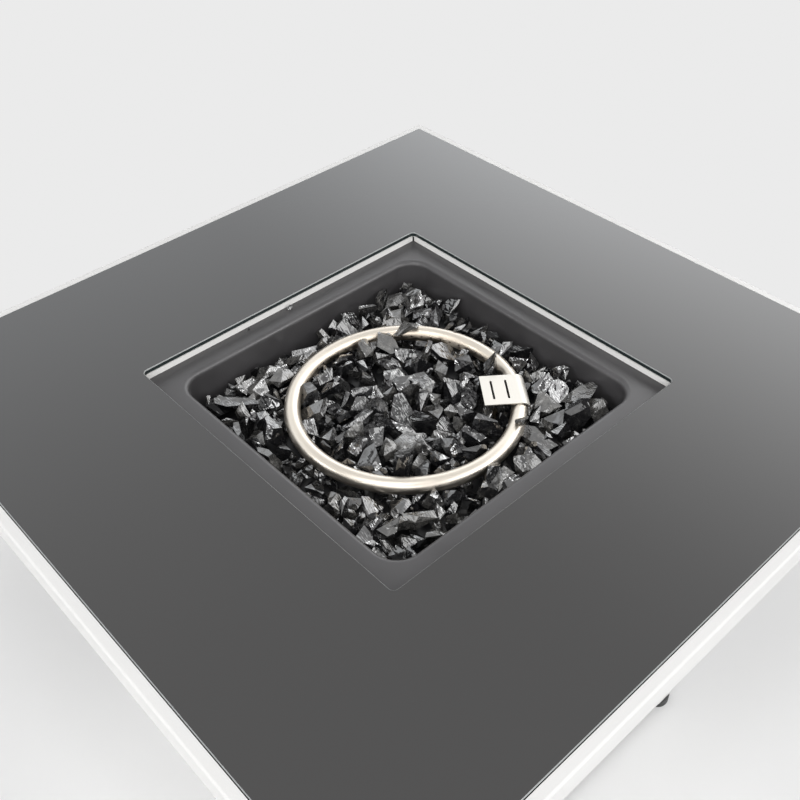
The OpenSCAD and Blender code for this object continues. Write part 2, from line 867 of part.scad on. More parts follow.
module igniter_body() {
  inside_r = igniter_d / 2 - igniter_wall;
  color([0.12, 0.12, 0.13]) difference() {
    union() {
      at_igniter(-cab - igniter_flange_t) point_back()
        cylinder(h = igniter_flange_t, r = igniter_flange_r);
      at_igniter(-cab - 0.1) point_back() cylinder(h = igniter_l, d = igniter_d);
    }
    at_igniter(-cab - igniter_flange_t - 1) point_back() cylinder(h = igniter_flange_t + 4, r = button_r + 0.1);
    at_igniter(-cab + button_seat_t) point_back()
      cylinder(h = igniter_l - button_seat_t - igniter_wall - 0.1, r = inside_r);
    at_igniter(-cab + igniter_l - 4) point_back() cylinder(h = 8, r = lead_r + 0.5);
  }
}

module igniter_nut() {
  color([0.2, 0.2, 0.21]) at_igniter(fascia_back) point_back() difference() {
    cylinder(h = 6, r = igniter_d / 2 + 5, $fn = 6);
    translate([0, 0, -1]) cylinder(h = 8, d = igniter_d + 0.2);
  }
}

module igniter_button() {
  out = -cab - igniter_flange_t - button_out;
  skirt = -cab + button_seat_t + 0.1;
  color([0.7, 0.12, 0.1]) {
    at_igniter(out) point_back() cylinder(h = skirt - out + 0.5, r = button_r);
    at_igniter(skirt) point_back() cylinder(h = button_skirt_t, r = button_skirt_r);
  }
}

module button_spring() {
  start = -cab + button_seat_t + 0.1 + button_skirt_t;
  color("gray") at_igniter(start) point_back() coil_spring(cell_front - start, 5, 0.5, 4);
}

module igniter_cell() {
  color("darkgreen") {
    at_igniter(cell_front) point_back() cylinder(h = cell_l, r = cell_r);
    at_igniter(cell_front - 1) point_back() cylinder(h = 1.5, r = 2.5);
  }
}

function pilot_point(side) = [
  pilot_r * cos(pilot_angle) - side * pilot_side * sin(pilot_angle),
  pilot_r * sin(pilot_angle) + side * pilot_side * cos(pilot_angle),
  pilot_end];

module spark_lead() {
  start = [igniter_x, -cab + igniter_l - 1, z_control];
  finish = pilot_point(1);
  color("firebrick")
    swept_tube(curve([start, start + [0, lead_back, 0], finish - [0, 0, lead_drop], finish], 40), lead_r,
               [1, 0, 0.3], [0, 1, 0], [0, 0, 1], 8);
}

module thermocouple_lead() {
  start = [valve_x + valve_w / 2 - 3, inlet_y, z_control];
  finish = pilot_point(-1);
  color("chocolate")
    swept_tube(curve([start, start + [lead_side, 0, 0], finish - [0, 0, lead_drop], finish], 40), lead_r,
               [0, 1, 0.3], [1, 0, 0], [0, 0, 1], 8);
}

// CABINET FRAME
// Four mitred tubes, welded into one square
module top_beams() {
  color("whitesmoke") four_sides() intersection() {
    translate([cab - tube_w / 2, cab, z_beam_bottom + tube_w / 2]) rotate([90, 0, 0])
      frame_tube(tube_w, tube_w, cabinet_w);
    translate([0, 0, z_beam_bottom - 1]) linear_extrude(tube_w + 2)
      polygon([[0, 0], [cabinet_w, -cabinet_w], [cabinet_w, cabinet_w]]);
  }
}

module outriggers() {
  l = rim_in - ledge_w - seat_gap - cab;
  color("whitesmoke") four_sides() for (y = [-outrigger_at, outrigger_at])
    translate([cab, y, z_panel_bottom - outrigger_w / 2]) rotate([0, 90, 0])
      frame_tube(outrigger_w, outrigger_w, l);
}

// Screws for a side panel: through the fold of the panel into the post beside it
module side_screws(zs) {
  for (s = [-1, 1], z = zs)
    translate([cab - fold_w / 2, s * (skin_half - skin_t), z]) rotate([-90 * s, 0, 0]) children();
}

module all_screws() {
  for (a = [0, 90, 180])
    rotate(a) side_screws(panel_fix_z) children();
  rotate(270) side_screws(fascia_fix_z) children();
}

module screw() {
  translate([0, 0, -screw_head_t]) cylinder(h = screw_head_t, r = screw_head_r);
  translate([0, 0, -0.1]) cylinder(h = screw_l, d = screw_d);
}

module panel_screws() {
  color("silver") all_screws() screw();
}

module post(x, y) {
  mid = cab - tube_w / 2;
  color("whitesmoke") difference() {
    translate([x * mid, y * mid, foot_h]) frame_tube(tube_w, tube_w, z_beam_bottom - foot_h);
    all_screws() cylinder(h = screw_l, d = screw_hole_d);
    hinge_screw_places(-1) cylinder(h = screw_l, d = screw_hole_d);
    if (x > 0) catch_screw_places() cylinder(h = screw_l, d = screw_hole_d);
  }
}

module post_front_left() { post(-1, -1); }
module post_front_right() { post(1, -1); }
module post_back_left() { post(-1, 1); }
module post_back_right() { post(1, 1); }

module base_rails() {
  mid = cab - tube_w / 2;
  color("whitesmoke") four_sides()
    translate([mid, post_in, z_base_rail + base_rail_h / 2]) rotate([90, 0, 0])
      frame_tube(tube_w, base_rail_h, 2 * post_in);
}

// The floor lies on the base rails, cut out round the posts, with a lip down inside the rails
module floor_tray() {
  color("lightgray") {
    translate([0, 0, tray_z]) linear_extrude(skin_t) difference() {
      square(2 * (cab - 1), center = true);
      for (x = [-1, 1], y = [-1, 1])
        translate([x * cab, y * cab]) square(2 * (tube_w + seat_gap), center = true);
      translate([0, bottle_y]) circle(r = 40);
      for (x = [-1, 1], i = [-3:3])
        translate([x * 195, i * 40]) slot(8, 26);
    }
    four_sides()
      translate([tray_half - skin_t, -tray_half, tray_z - tray_fold])
        cube([skin_t, 2 * tray_half, tray_fold + skin_t]);
  }
}

module bottle_ring() {
  color("silver") translate([0, bottle_y, tray_z + skin_t]) rotate_extrude($fn = 96) {
    translate([bottle_ring_r, 0]) square([skin_t, bottle_ring_h]);
    translate([bottle_ring_r, 0]) square([12, skin_t]);
  }
}

module feet() {
  mid = cab - tube_w / 2;
  plug = tube_w - 2 * tube_wall - 2 * seat_gap;
  color([0.1, 0.1, 0.1]) for (x = [-mid, mid], y = [-mid, mid])
    translate([x, y, 0]) {
      cylinder(h = foot_h, d = foot_d);
      translate([-plug / 2, -plug / 2, foot_h - 1]) cube([plug, plug, foot_plug_h]);
    }
}

// CABINET PANELS
// A flat tray that faces +X between two posts, from one level to another
module cassette(low, high, half, fold) {
  translate([cab - skin_t, -half, low]) cube([skin_t, 2 * half, high - low]);
  for (s = [-1, 1])
    translate([cab - fold, s * (half - skin_t / 2) - skin_t / 2, low]) cube([fold, skin_t, high - low]);
  for (z = [low, high - skin_t])
    translate([cab - fold, -half, z]) cube([fold, 2 * half, skin_t]);
}

module vents(z) {
  for (i = [0:vent_count - 1])
    translate([cab - skin_t - 1, (i - (vent_count - 1) / 2) * vent_pitch, z]) rotate([90, 0, 90])
      linear_extrude(skin_t + 2) slot(vent_w, vent_l);
}

module side_panel() {
  color("white") difference() {
    cassette(z_panels_low, z_panels_high, skin_half, fold_w);
    vents(z_panels_low + 60);
    vents(z_panels_high - 60);
    side_screws(panel_fix_z) translate([0, 0, -1]) cylinder(h = screw_l, d = screw_hole_d);
  }
}

module right_panel() { side_panel(); }
module back_panel() { rotate(90) side_panel(); }
module left_panel() { rotate(180) side_panel(); }

module control_fascia() {
  color("white") difference() {
    rotate(270) cassette(z_fascia_low, z_panels_high, skin_half, fold_w);
    at_valve(-cab - 1) point_back() cylinder(h = skin_t + 2, r = stem_r + 2);
    at_igniter(-cab - 1) point_back() cylinder(h = skin_t + 2, d = igniter_d + 0.2);
    rotate(270) side_screws(fascia_fix_z) translate([0, 0, -1]) cylinder(h = screw_l, d = screw_hole_d);
  }
}

// DOOR
module door() {
  color("white") difference() {
    union() {
      rotate(270) cassette(z_door_low, z_door_high, door_half, door_fold);
      for (s = [-1, 1])
        translate([s * (door_half - door_lip / 2) - door_lip / 2, -cab + door_fold - skin_t, z_door_low])
          cube([door_lip, skin_t, z_door_high - z_door_low]);
    }
    translate([pull_x, -cab - 1, pull_z]) point_back() cylinder(h = skin_t + 2, d = screw_hole_d);
    hinge_screw_places(1) cylinder(h = screw_l, d = screw_hole_d);
  }
}

// One leaf of a hinge, drawn on the side of +X from the pin, with the given barrel pieces
module hinge_leaf(segments) {
  difference() {
    union() {
      translate([barrel_r + leaf_clear, -hinge_y - cab - leaf_t, 0]) cube([leaf_w - barrel_r, leaf_t, hinge_h]);
      for (s = segments)
        translate([0, 0, s[0]]) {
          cylinder(h = s[1] - s[0], r = barrel_r);
          translate([0, -hinge_y - cab - leaf_t, 0]) cube([barrel_r + 2 * leaf_clear, leaf_t, s[1] - s[0]]);
        }
    }
    translate([0, 0, -1]) cylinder(h = hinge_h + 2, r = pin_r + running_gap);
  }
}

module post_hinge_leaves() {
  color("silver") difference() {
    for (z = hinge_zs)
      translate([hinge_x, hinge_y, z]) mirror([1, 0, 0])
        hinge_leaf([[0, hinge_seg - hinge_gap], [2 * hinge_seg + hinge_gap, hinge_h]]);
    hinge_screw_places(-1) translate([0, 0, -1]) cylinder(h = leaf_t + 2, d = screw_hole_d);
  }
}

module door_hinge_leaves() {
  color("silver") difference() {
    for (z = hinge_zs)
      translate([hinge_x, hinge_y, z]) hinge_leaf([[hinge_seg, 2 * hinge_seg]]);
    hinge_screw_places(1) translate([0, 0, -1]) cylinder(h = leaf_t + 2, d = screw_hole_d);
  }
}

module hinge_screw_places(side) {
  for (z = hinge_zs, dz = [10, hinge_h - 10])
    translate([hinge_x + side * (leaf_w / 2 + 4), -cab - leaf_t, z + dz]) rotate([-90, 0, 0])
      children();
}

module post_hinge_screws() {
  color("silver") hinge_screw_places(-1) screw();
}

module door_hinge_screws() {
  color("silver") hinge_screw_places(1) screw();
}

module hinge_pins() {
  color("gray") for (z = hinge_zs)
    translate([hinge_x, hinge_y, z]) {
      cylinder(h = hinge_h + 0.5, r = pin_r);
      translate([0, 0, hinge_h]) cylinder(h = 1.5, r = pin_r + 1);
    }
}

module door_pull() {
  color("silver") translate([pull_x, -cab, pull_z]) {
    rotate([90, 0, 0]) rotate_extrude() {
      square([7, pull_l - 6]);
      translate([0, pull_l - 10]) square([pull_r - 2, 10]);
      translate([0, pull_l - 8]) square([pull_r, 6]);
      translate([pull_r - 2, pull_l - 2]) circle(2);
      translate([pull_r - 2, pull_l - 8]) circle(2);
    }
    point_back() translate([0, 0, -1]) cylinder(h = skin_t + 3, d = screw_d);
    translate([0, skin_t, 0]) point_back() cylinder(h = 2, r = screw_head_r);
  }
}

module catch_screw_places() {
  for (z = [-catch_h / 2 + 6, catch_h / 2 - 6])
    translate([post_in - catch_foot_t, catch_front + catch_d - 5, catch_z + z]) rotate([0, 90, 0])
      children();
}

// The magnet's case stands on a foot that is screwed to the side of the post
module catch_magnet() {
  color("white") difference() {
    union() {
      translate([post_in - catch_w, catch_front, catch_z - catch_h / 2 + 12])
        cube([catch_w, catch_d, catch_h - 24]);
      translate([post_in - catch_foot_t, catch_front, catch_z - catch_h / 2])
        cube([catch_foot_t, catch_d, catch_h]);
    }
    catch_screw_places() translate([0, 0, -1]) cylinder(h = catch_foot_t + 2, d = screw_hole_d);
  }
}

module catch_screws() {
  color("silver") catch_screw_places() screw();
}

module catch_strike() {
  color("silver")
    translate([door_half - strike_w - 2, -cab + door_fold, catch_z - catch_h / 2 + 6])
      cube([strike_w, strike_t, catch_h - 12]);
}

glass_top();
glass_pads();
rim();
top_panel();
panel_rivets();
pan_rails();
burner_pan();
fire_glass();
burner_ring();
burner_legs();
burner_leg_screws();
ignition_shield();
pilot_bracket();
spark_electrode();
thermocouple();
air_mixer();
gas_jet();
feed_tube();
feed_nuts();
heat_shield();
shield_spacers();
shield_bolts();
valve_body();
valve_plug();
valve_stem();
stem_spring();
control_knob();
knob_bezel();
igniter_body();
igniter_nut();
igniter_button();
button_spring();
igniter_cell();
spark_lead();
thermocouple_lead();
top_beams();
outriggers();
post_front_left();
post_front_right();
post_back_left();
post_back_right();
base_rails();
floor_tray();
bottle_ring();
feet();
left_panel();
right_panel();
back_panel();
control_fascia();
door();
post_hinge_leaves();
door_hinge_leaves();
hinge_pins();
post_hinge_screws();
door_hinge_screws();
door_pull();
catch_magnet();
catch_screws();
catch_strike();
panel_screws();
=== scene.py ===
"""The gas fire pit table's looks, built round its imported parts."""

import json
import logging
import math
import random
from dataclasses import dataclass
from enum import Enum
from typing import Any, Iterable, Optional, Sequence, Union

import bmesh
import bpy
import numpy as np
from mathutils import Matrix, Vector

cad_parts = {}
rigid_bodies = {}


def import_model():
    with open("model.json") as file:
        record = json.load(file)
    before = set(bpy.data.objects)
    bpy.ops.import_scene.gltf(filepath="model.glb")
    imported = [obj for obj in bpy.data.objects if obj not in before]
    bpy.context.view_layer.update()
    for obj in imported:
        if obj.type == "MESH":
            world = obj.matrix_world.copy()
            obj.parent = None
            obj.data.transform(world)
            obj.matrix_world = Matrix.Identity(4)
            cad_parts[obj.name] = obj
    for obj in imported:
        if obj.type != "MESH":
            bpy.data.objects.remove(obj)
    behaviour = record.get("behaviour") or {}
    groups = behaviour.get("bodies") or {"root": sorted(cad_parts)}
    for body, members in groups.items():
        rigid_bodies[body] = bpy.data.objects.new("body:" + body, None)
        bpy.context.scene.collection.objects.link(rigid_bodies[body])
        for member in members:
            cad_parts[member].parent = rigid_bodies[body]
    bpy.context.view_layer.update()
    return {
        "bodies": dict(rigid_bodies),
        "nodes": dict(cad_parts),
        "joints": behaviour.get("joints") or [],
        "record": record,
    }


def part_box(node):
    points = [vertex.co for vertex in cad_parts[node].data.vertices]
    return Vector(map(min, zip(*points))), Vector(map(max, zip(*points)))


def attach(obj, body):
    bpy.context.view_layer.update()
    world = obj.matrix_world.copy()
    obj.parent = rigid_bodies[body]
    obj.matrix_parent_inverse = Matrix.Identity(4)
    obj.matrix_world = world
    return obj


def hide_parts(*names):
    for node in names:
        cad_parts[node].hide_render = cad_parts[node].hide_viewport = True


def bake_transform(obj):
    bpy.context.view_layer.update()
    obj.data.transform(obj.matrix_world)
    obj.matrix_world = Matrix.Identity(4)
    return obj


log = logging.getLogger("fire_table")

Colour = tuple[float, float, float]
Point = tuple[float, float, float]
Range = tuple[float, float]
Shade = dict[str, Any]
NOISE_MIDDLE = (0.3, 0.7)
SMOOTH = 40.0
GOLDEN_TURN = 2.39996
MIDDLE_TONE = 0.5


class Body(Enum):
    """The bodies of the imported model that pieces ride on."""

    TABLE = "table"
    DOOR = "door"
    PLUG = "valve_plug"
    KNOB = "gas_knob"
    BUTTON = "igniter_button"


class Shine(Enum):
    """Whether gloss shows a lamp, or it only lights matt surfaces."""

    MATT = False
    BOTH = True


class Axis(Enum):
    """The way a brushed or drawn metal's lines run."""

    X = (0.06, 1.0, 1.0)
    Y = (1.0, 0.06, 1.0)
    Z = (1.0, 1.0, 0.06)


# MATERIAL NODES


class Wire:
    """A socket of a material's tree, with arithmetic on numbers."""

    def __init__(self, net: "Net", socket: bpy.types.NodeSocket) -> None:
        """Holds the socket and the tree it is in."""
        self.net = net
        self.socket = socket

    def _math(self, operation: str, first: Any, second: Any) -> "Wire":
        """Adds one Math node.

        Args:
            operation: The node's operation.
            first: The first value or wire.
            second: The second value or wire.

        Returns:
            The node's result.
        """
        return self.net.node("ShaderNodeMath", {"operation": operation}, {0: first, 1: second})

    def __add__(self, other: Any) -> "Wire":
        """This plus other."""
        return self._math("ADD", self, other)

    def __sub__(self, other: Any) -> "Wire":
        """This less other."""
        return self._math("SUBTRACT", self, other)

    def __rsub__(self, other: Any) -> "Wire":
        """Other less this."""
        return self._math("SUBTRACT", other, self)

    def __mul__(self, other: Any) -> "Wire":
        """This times other."""
        return self._math("MULTIPLY", self, other)

    def __pow__(self, other: Any) -> "Wire":
        """This to the power of other."""
        return self._math("POWER", self, other)

    def span(self, low: float, high: float, start: float = 0.0, end: float = 1.0) -> "Wire":
        """This, taken smoothly from the range low to high into start to end."""
        return self.net.node(
            "ShaderNodeMapRange",
            {"interpolation_type": "SMOOTHSTEP"},
            {"Value": self, "From Min": low, "From Max": high, "To Min": start, "To Max": end},
        )

    def rough(self, start: float, end: float) -> "Wire":
        """A roughness from start to end, from the middle range of this noise."""
        return self.span(*NOISE_MIDDLE, start, end)


@dataclass
class Net:
    """One material, or the world, and its node tree."""

    name: str
    holder: Any = None
    coordinates: str = "Object"

    def __post_init__(self) -> None:
        """Empties the tree, of a new material if no holder is given."""
        self.holder = self.holder or bpy.data.materials.new(self.name)
        self.holder.use_nodes = True
        self.tree = self.holder.node_tree
        self.tree.nodes.clear()
        self.place = self.node("ShaderNodeTexCoord", out=self.coordinates)

    def node(
        self,
        kind: str,
        settings: Optional[dict[str, Any]] = None,
        inputs: Optional[dict[Union[int, str], Any]] = None,
        out: Union[int, str] = 0,
    ) -> Wire:
        """Adds a node of any type.

        Args:
            kind: The node's type.
            settings: The node's own settings, set first.
            inputs: A value or a wire for each socket, by name or number.
            out: The output that is wanted.

        Returns:
            That output.
        """
        made = self.tree.nodes.new(kind)
        for key, value in (settings or {}).items():
            setattr(made, key, value)
        for key, value in (inputs or {}).items():
            if isinstance(value, Wire):
                self.tree.links.new(value.socket, made.inputs[key])
            elif value is not None:
                made.inputs[key].default_value = value
        return Wire(self, made.outputs[out]) if len(made.outputs) else Wire(self, made.inputs[0])

    def stretched(self, scale: Point) -> Wire:
        """The piece's coordinates, scaled."""
        return self.node("ShaderNodeMapping", {}, {"Vector": self.place, "Scale": scale}, "Vector")

    def noise(
        self, size: float, detail: float = 3.0, rough: float = 0.5, at: Optional[Wire] = None
    ) -> Wire:
        """Soft noise from 0 to 1.

        Args:
            size: The size of its largest spots, in metres.
            detail: How many finer layers it has.
            rough: How strong the finer layers are.
            at: The coordinates, if not the piece's own.

        Returns:
            The noise.
        """
        place = at or self.place
        layers = {"Detail": detail, "Roughness": rough}
        return self.node(
            "ShaderNodeTexNoise", {}, {"Vector": place, "Scale": 1.0 / size, **layers}, "Fac"
        )

    def cells(self, size: float) -> Wire:
        """A random colour for each Voronoi cell of a size in metres."""
        values = {"Vector": self.place, "Scale": 1.0 / size}
        return self.node("ShaderNodeTexVoronoi", {}, values, "Color")

    def between(self, first: Any, second: Any, share: Any) -> Wire:
        """A colour between two colours.

        Args:
            first: The colour at share 0.
            second: The colour at share 1.
            share: Which part of the second there is.

        Returns:
            The mixed colour.
        """
        values = {0: share}
        for key, colour in ((6, first), (7, second)):
            values[key] = colour if isinstance(colour, Wire) else (*colour, 1.0)
        return self.node("ShaderNodeMix", {"data_type": "RGBA"}, values, 2)

    def tone(self, colour: Colour, level: Wire, low: float, high: float) -> Wire:
        """A colour from a darker to a lighter shade of itself, by a level from 0 to 1."""
        dark = tuple(c * low for c in colour)
        light = tuple(min(1.0, c * high) for c in colour)
        return self.between(dark, light, level)

    def bump(self, height: Wire, depth: float) -> Wire:
        """Normals of a surface whose height goes from 0 to depth metres."""
        values = {"Height": height, "Distance": depth, "Strength": 1.0}
        return self.node("ShaderNodeBump", {}, values)

    def parts(self) -> tuple[Wire, Wire, Wire]:
        """The piece's x, y and z."""
        split = self.node("ShaderNodeSeparateXYZ", {}, {0: self.place})
        outs = split.socket.node.outputs
        return tuple(Wire(self, outs[i]) for i in range(3))

    def finish(self, shade: Shade) -> bpy.types.Material:
        """Adds the shader and the output.

        Args:
            shade: A value or a wire for each of the shader's sockets.

        Returns:
            The material.
        """
        shader = self.node("ShaderNodeBsdfPrincipled", {}, shade, "BSDF")
        self.node("ShaderNodeOutputMaterial", {}, {"Surface": shader})
        return self.holder


# FINISHES


@dataclass(frozen=True)
class Finish:
    """What a surface is made of. Its sizes and depths are in metres."""

    name: str
    colour: Colour

    def shade(self, net: Net) -> Shade:
        """The colour, the gloss and the relief.

        Args:
            net: The material's tree.

        Returns:
            A value or a wire for each of the shader's sockets.
        """
        raise NotImplementedError

    def make(self) -> bpy.types.Material:
        """Builds the material."""
        net = Net(self.name)
        return net.finish(self.shade(net))


@dataclass(frozen=True)
class Powder(Finish):
    """Powder coat: a fine orange peel, faintly mottled."""

    roughness: float = 0.38
    peel: float = 0.0016
    grit: float = 0.0005
    mottle: float = 0.09
    depth: float = 0.00006

    def shade(self, net: Net) -> Shade:
        """Mottles the coat and gives it its peel."""
        mottle = net.noise(self.mottle, 4.0)
        peel = net.noise(self.peel, 1.0)
        grit = net.noise(self.grit, 1.0)
        return {
            "Base Color": net.tone(self.colour, mottle, 0.97, 1.02),
            "Roughness": mottle.rough(self.roughness - 0.04, self.roughness + 0.06),
            "Normal": net.bump(peel * 0.8 + grit * 0.2, self.depth),
        }


@dataclass(frozen=True)
class StovePaint(Finish):
    """Heat-proof paint: satin black-brown with soft clouds and a fine grain."""

    clouds: float = 0.05
    grain: float = 0.0006
    depth: float = 0.00003

    def shade(self, net: Net) -> Shade:
        """Clouds the paint and gives it its grain."""
        cloud = net.noise(self.clouds, 5.0, 0.55)
        grain = net.noise(self.grain, 2.0)
        return {
            "Base Color": net.tone(self.colour, cloud, 0.82, 1.2),
            "Roughness": cloud.span(0.25, 0.75, 0.3, 0.44),
            "Normal": net.bump(grain, self.depth),
        }


@dataclass(frozen=True)
class Metal(Finish):
    """Bare or plated metal, with drawn or brushed lines if it has a way."""

    roughness: float = 0.28
    lines: Optional[Axis] = None
    spots: float = 0.03
    depth: float = 0.00001
    scratches: float = 0.0007

    def shade(self, net: Net) -> Shade:
        """Spots the metal and scratches it along its lines."""
        cloud = net.noise(self.spots, 4.0)
        way = self.lines.value if self.lines else (1.0, 1.0, 1.0)
        scratch = net.noise(self.scratches, 3.0, 0.6, net.stretched(way))
        dull = cloud * 0.5 + scratch * 0.5
        return {
            "Base Color": net.tone(self.colour, cloud, 0.9, 1.06),
            "Metallic": 1.0,
            "Roughness": dull.rough(self.roughness - 0.08, self.roughness + 0.1),
            "Normal": net.bump(scratch, self.depth),
        }


@dataclass(frozen=True)
class Spangled(Finish):
    """Galvanised sheet with its zinc crystals."""

    crystal: float = 0.012
    clouds: float = 0.06
    depth: float = 0.00001

    def shade(self, net: Net) -> Shade:
        """Gives each crystal its own tone and gloss."""
        flake = net.node("ShaderNodeSeparateColor", {}, {0: net.cells(self.crystal)})
        cloud = net.noise(self.clouds, 4.0)
        return {
            "Base Color": net.tone(self.colour, flake * 0.7 + cloud * 0.3, 0.82, 1.1),
            "Metallic": 1.0,
            "Roughness": flake.span(0.0, 1.0, 0.34, 0.5),
            "Normal": net.bump(flake, self.depth),
        }


@dataclass(frozen=True)
class Moulded(Finish):
    """Moulded plastic, rubber or silicone with a fine skin."""

    roughness: float = 0.45
    grain: float = 0.0009
    depth: float = 0.00003
    clouds: float = 0.02

    def shade(self, net: Net) -> Shade:
        """Clouds the plastic and gives it its skin."""
        grain = net.noise(self.grain, 2.0)
        cloud = net.noise(self.clouds, 3.0)
        return {
            "Base Color": net.tone(self.colour, cloud, 0.92, 1.08),
            "Roughness": cloud.rough(self.roughness - 0.05, self.roughness + 0.07),
            "Normal": net.bump(grain, self.depth),
        }


@dataclass(frozen=True)
class CoatedGlass(Finish):
    """Tempered glass with a dark coat behind it: a deep gloss with faint wipe marks."""

    ior: float = 1.54
    wipes: float = 0.11
    wiped: Point = (1.0, 0.45, 1.0)
    rolls: float = 0.16
    depth: float = 0.00003

    def shade(self, net: Net) -> Shade:
        """Wipes the glass and gives it its slow roll."""
        wipe = net.noise(self.wipes, 4.0, 0.6, net.stretched(self.wiped))
        roll = net.noise(self.rolls, 1.0)
        return {
            "Base Color": net.tone(self.colour, wipe, 0.97, 1.03),
            "Roughness": wipe.span(0.35, 0.75, 0.045, 0.085),
            "IOR": self.ior,
            "Normal": net.bump(roll, self.depth),
        }


@dataclass(frozen=True)
class GroundArris(Finish):
    """The narrow ground bevel along the glass's edges."""

    grain: float = 0.0009
    depth: float = 0.00001

    def shade(self, net: Net) -> Shade:
        """Grinds the bevel."""
        ground = net.noise(self.grain, 3.0)
        return {
            "Base Color": net.tone(self.colour, ground, 0.85, 1.15),
            "Roughness": ground.rough(0.22, 0.38),
            "Normal": net.bump(ground, self.depth),
        }


@dataclass(frozen=True)
class FireGlass(Finish):
    """Broken black glass: shell-shaped breaks with a mirror gloss and a little dust."""

    dust: Colour
    ior: float = 2.05
    shells: float = 0.011
    ripples: float = 0.0032
    grit: float = 0.0075
    depth: float = 0.0028

    def shade(self, net: Net) -> Shade:
        """Ripples the breaks and dusts each stone by its own tone."""
        tone = net.node("ShaderNodeAttribute", {"attribute_name": "tone"}, out="Fac")
        shell = net.noise(self.shells, 1.0, 0.4)
        ripple = net.noise(self.ripples, 2.0, 0.55)
        grit = net.noise(self.grit, 4.0, 0.65)
        lines = {"Scale": 110.0, "Distortion": 9.0, "Detail": 2.0, "Detail Scale": 0.8}
        streak = net.node("ShaderNodeTexWave", {}, {"Vector": net.place, **lines}, "Fac")
        veil = (grit * 0.8 + tone * 0.34).span(0.5, 0.86)
        return {
            "Base Color": net.between(self.colour, self.dust, veil * 0.8),
            "Roughness": (veil * 0.6 + ripple * 0.4).span(0.2, 0.85, 0.03, 0.3),
            "IOR": self.ior,
            "Normal": net.bump(shell * 0.9 + ripple * 0.07 + streak * 0.03, self.depth),
        }


@dataclass(frozen=True)
class RingSteel(Finish):
    """The ring's satin stainless tube, drawn along its length and straw-coloured by the ports."""

    straw: Colour
    ring_r: float
    heated: Range = (0.001, 0.009)
    clouds: float = 0.03
    scratches: float = 0.0011
    depth: float = 0.00001

    def shade(self, net: Net) -> Shade:
        """Draws the tube round the ring's axis and tints its inner side."""
        x, y, z = net.parts()
        reach = (x * x + y * y) ** 0.5
        inner = (self.ring_r - reach).span(*self.heated)
        cloud = net.noise(self.clouds, 4.0)
        heat = (inner * 0.6 + cloud * 0.4).span(0.35, 1.0)
        across = net.node("ShaderNodeCombineXYZ", {}, {0: reach, 1: z, 2: 0.0})
        drawn = net.noise(self.scratches, 3.0, 0.6, across)
        return {
            "Base Color": net.between(self.colour, self.straw, heat * 0.5),
            "Metallic": 1.0,
            "Roughness": (cloud * 0.5 + drawn * 0.5).rough(0.3, 0.44),
            "Normal": net.bump(drawn, self.depth),
        }


FINISHES: dict[str, Finish] = {
    "white": Powder("white_powder", (0.8, 0.795, 0.785)),
    # The lips' coat is a lighter copy of the white coat: painted light on lips that stand in
    # shade.
    "lip": Powder("lip_powder_painted_light", (0.94, 0.93, 0.91)),
    "frame": Powder("white_frame_powder", (0.78, 0.775, 0.765), 0.4),
    "bezel": Powder("black_bezel_powder", (0.035, 0.035, 0.037), 0.42, 0.001),
    "pan": StovePaint("black_stove_paint", (0.06, 0.058, 0.06)),
    "glass": CoatedGlass("dark_coated_glass", (0.035, 0.034, 0.034)),
    "arris": GroundArris("ground_glass_arris", (0.3, 0.31, 0.31)),
    "edge": Moulded("polished_glass_edge", (0.012, 0.022, 0.022), 0.12, 0.0012, 0.00001),
    "ring": RingSteel("polished_ring_steel", (0.56, 0.515, 0.45), (0.48, 0.39, 0.29), 0.1295),
    "stones": FireGlass("crushed_black_glass", (0.01, 0.01, 0.011), (0.11, 0.106, 0.098)),
    "core": StovePaint("deep_crushed_glass", (0.012, 0.012, 0.013)),
    "shield": Metal("blasted_stainless", (0.56, 0.54, 0.5), 0.5, None, 0.02, 0.00002),
    "sheet": Metal("bright_sheet_steel", (0.62, 0.62, 0.61), 0.3, Axis.X),
    "zinc": Metal("zinc_plate", (0.66, 0.66, 0.65), 0.26, None, 0.006),
    "stem": Metal("turned_steel", (0.6, 0.6, 0.59), 0.22, Axis.X),
    "spring": Metal("spring_wire", (0.5, 0.5, 0.51), 0.18, None, 0.004),
    "knob": Metal("satin_knob_metal", (0.52, 0.515, 0.51), 0.34, Axis.Y, 0.02, 0.000012),
    "hinge": Metal("nickel_hinge_steel", (0.58, 0.57, 0.555), 0.3, Axis.Z, 0.02),
    "mixer": Metal("plated_mixer_steel", (0.58, 0.57, 0.54), 0.33, None, 0.01),
    "brass": Metal("machined_brass", (0.72, 0.53, 0.25), 0.25, None, 0.012),
    "tube": Metal("drawn_aluminium_tube", (0.72, 0.72, 0.73), 0.32, None, 0.02),
    "rivet": Metal("rivet_aluminium", (0.7, 0.7, 0.7), 0.34, None, 0.004),
    "copper": Metal("copper_capillary", (0.62, 0.33, 0.2), 0.34, None, 0.01),
    "sensor": Metal("heat_tinted_tip", (0.5, 0.4, 0.3), 0.3, None, 0.008),
    "zinc_sheet": Spangled("galvanised_sheet", (0.62, 0.63, 0.64)),
    "ceramic": Moulded("glazed_ceramic", (0.82, 0.79, 0.72), 0.14, 0.003, 0.00001),
    "silicone": Moulded("clear_silicone", (0.66, 0.66, 0.65), 0.3),
    "nylon": Moulded("black_nylon", (0.03, 0.03, 0.032), 0.46),
    "foot": Moulded("foot_polyethylene", (0.035, 0.035, 0.036), 0.5, 0.0012),
    "catch": Moulded("white_catch_plastic", (0.74, 0.73, 0.71), 0.4),
    "button": Moulded("red_button_plastic", (0.5, 0.03, 0.022), 0.25, 0.002, 0.00001),
    "wrap": Moulded("cell_wrap_film", (0.04, 0.14, 0.075), 0.2, 0.004, 0.00001),
    "lead": Moulded("red_silicone_lead", (0.42, 0.045, 0.035), 0.38, 0.0015),
}


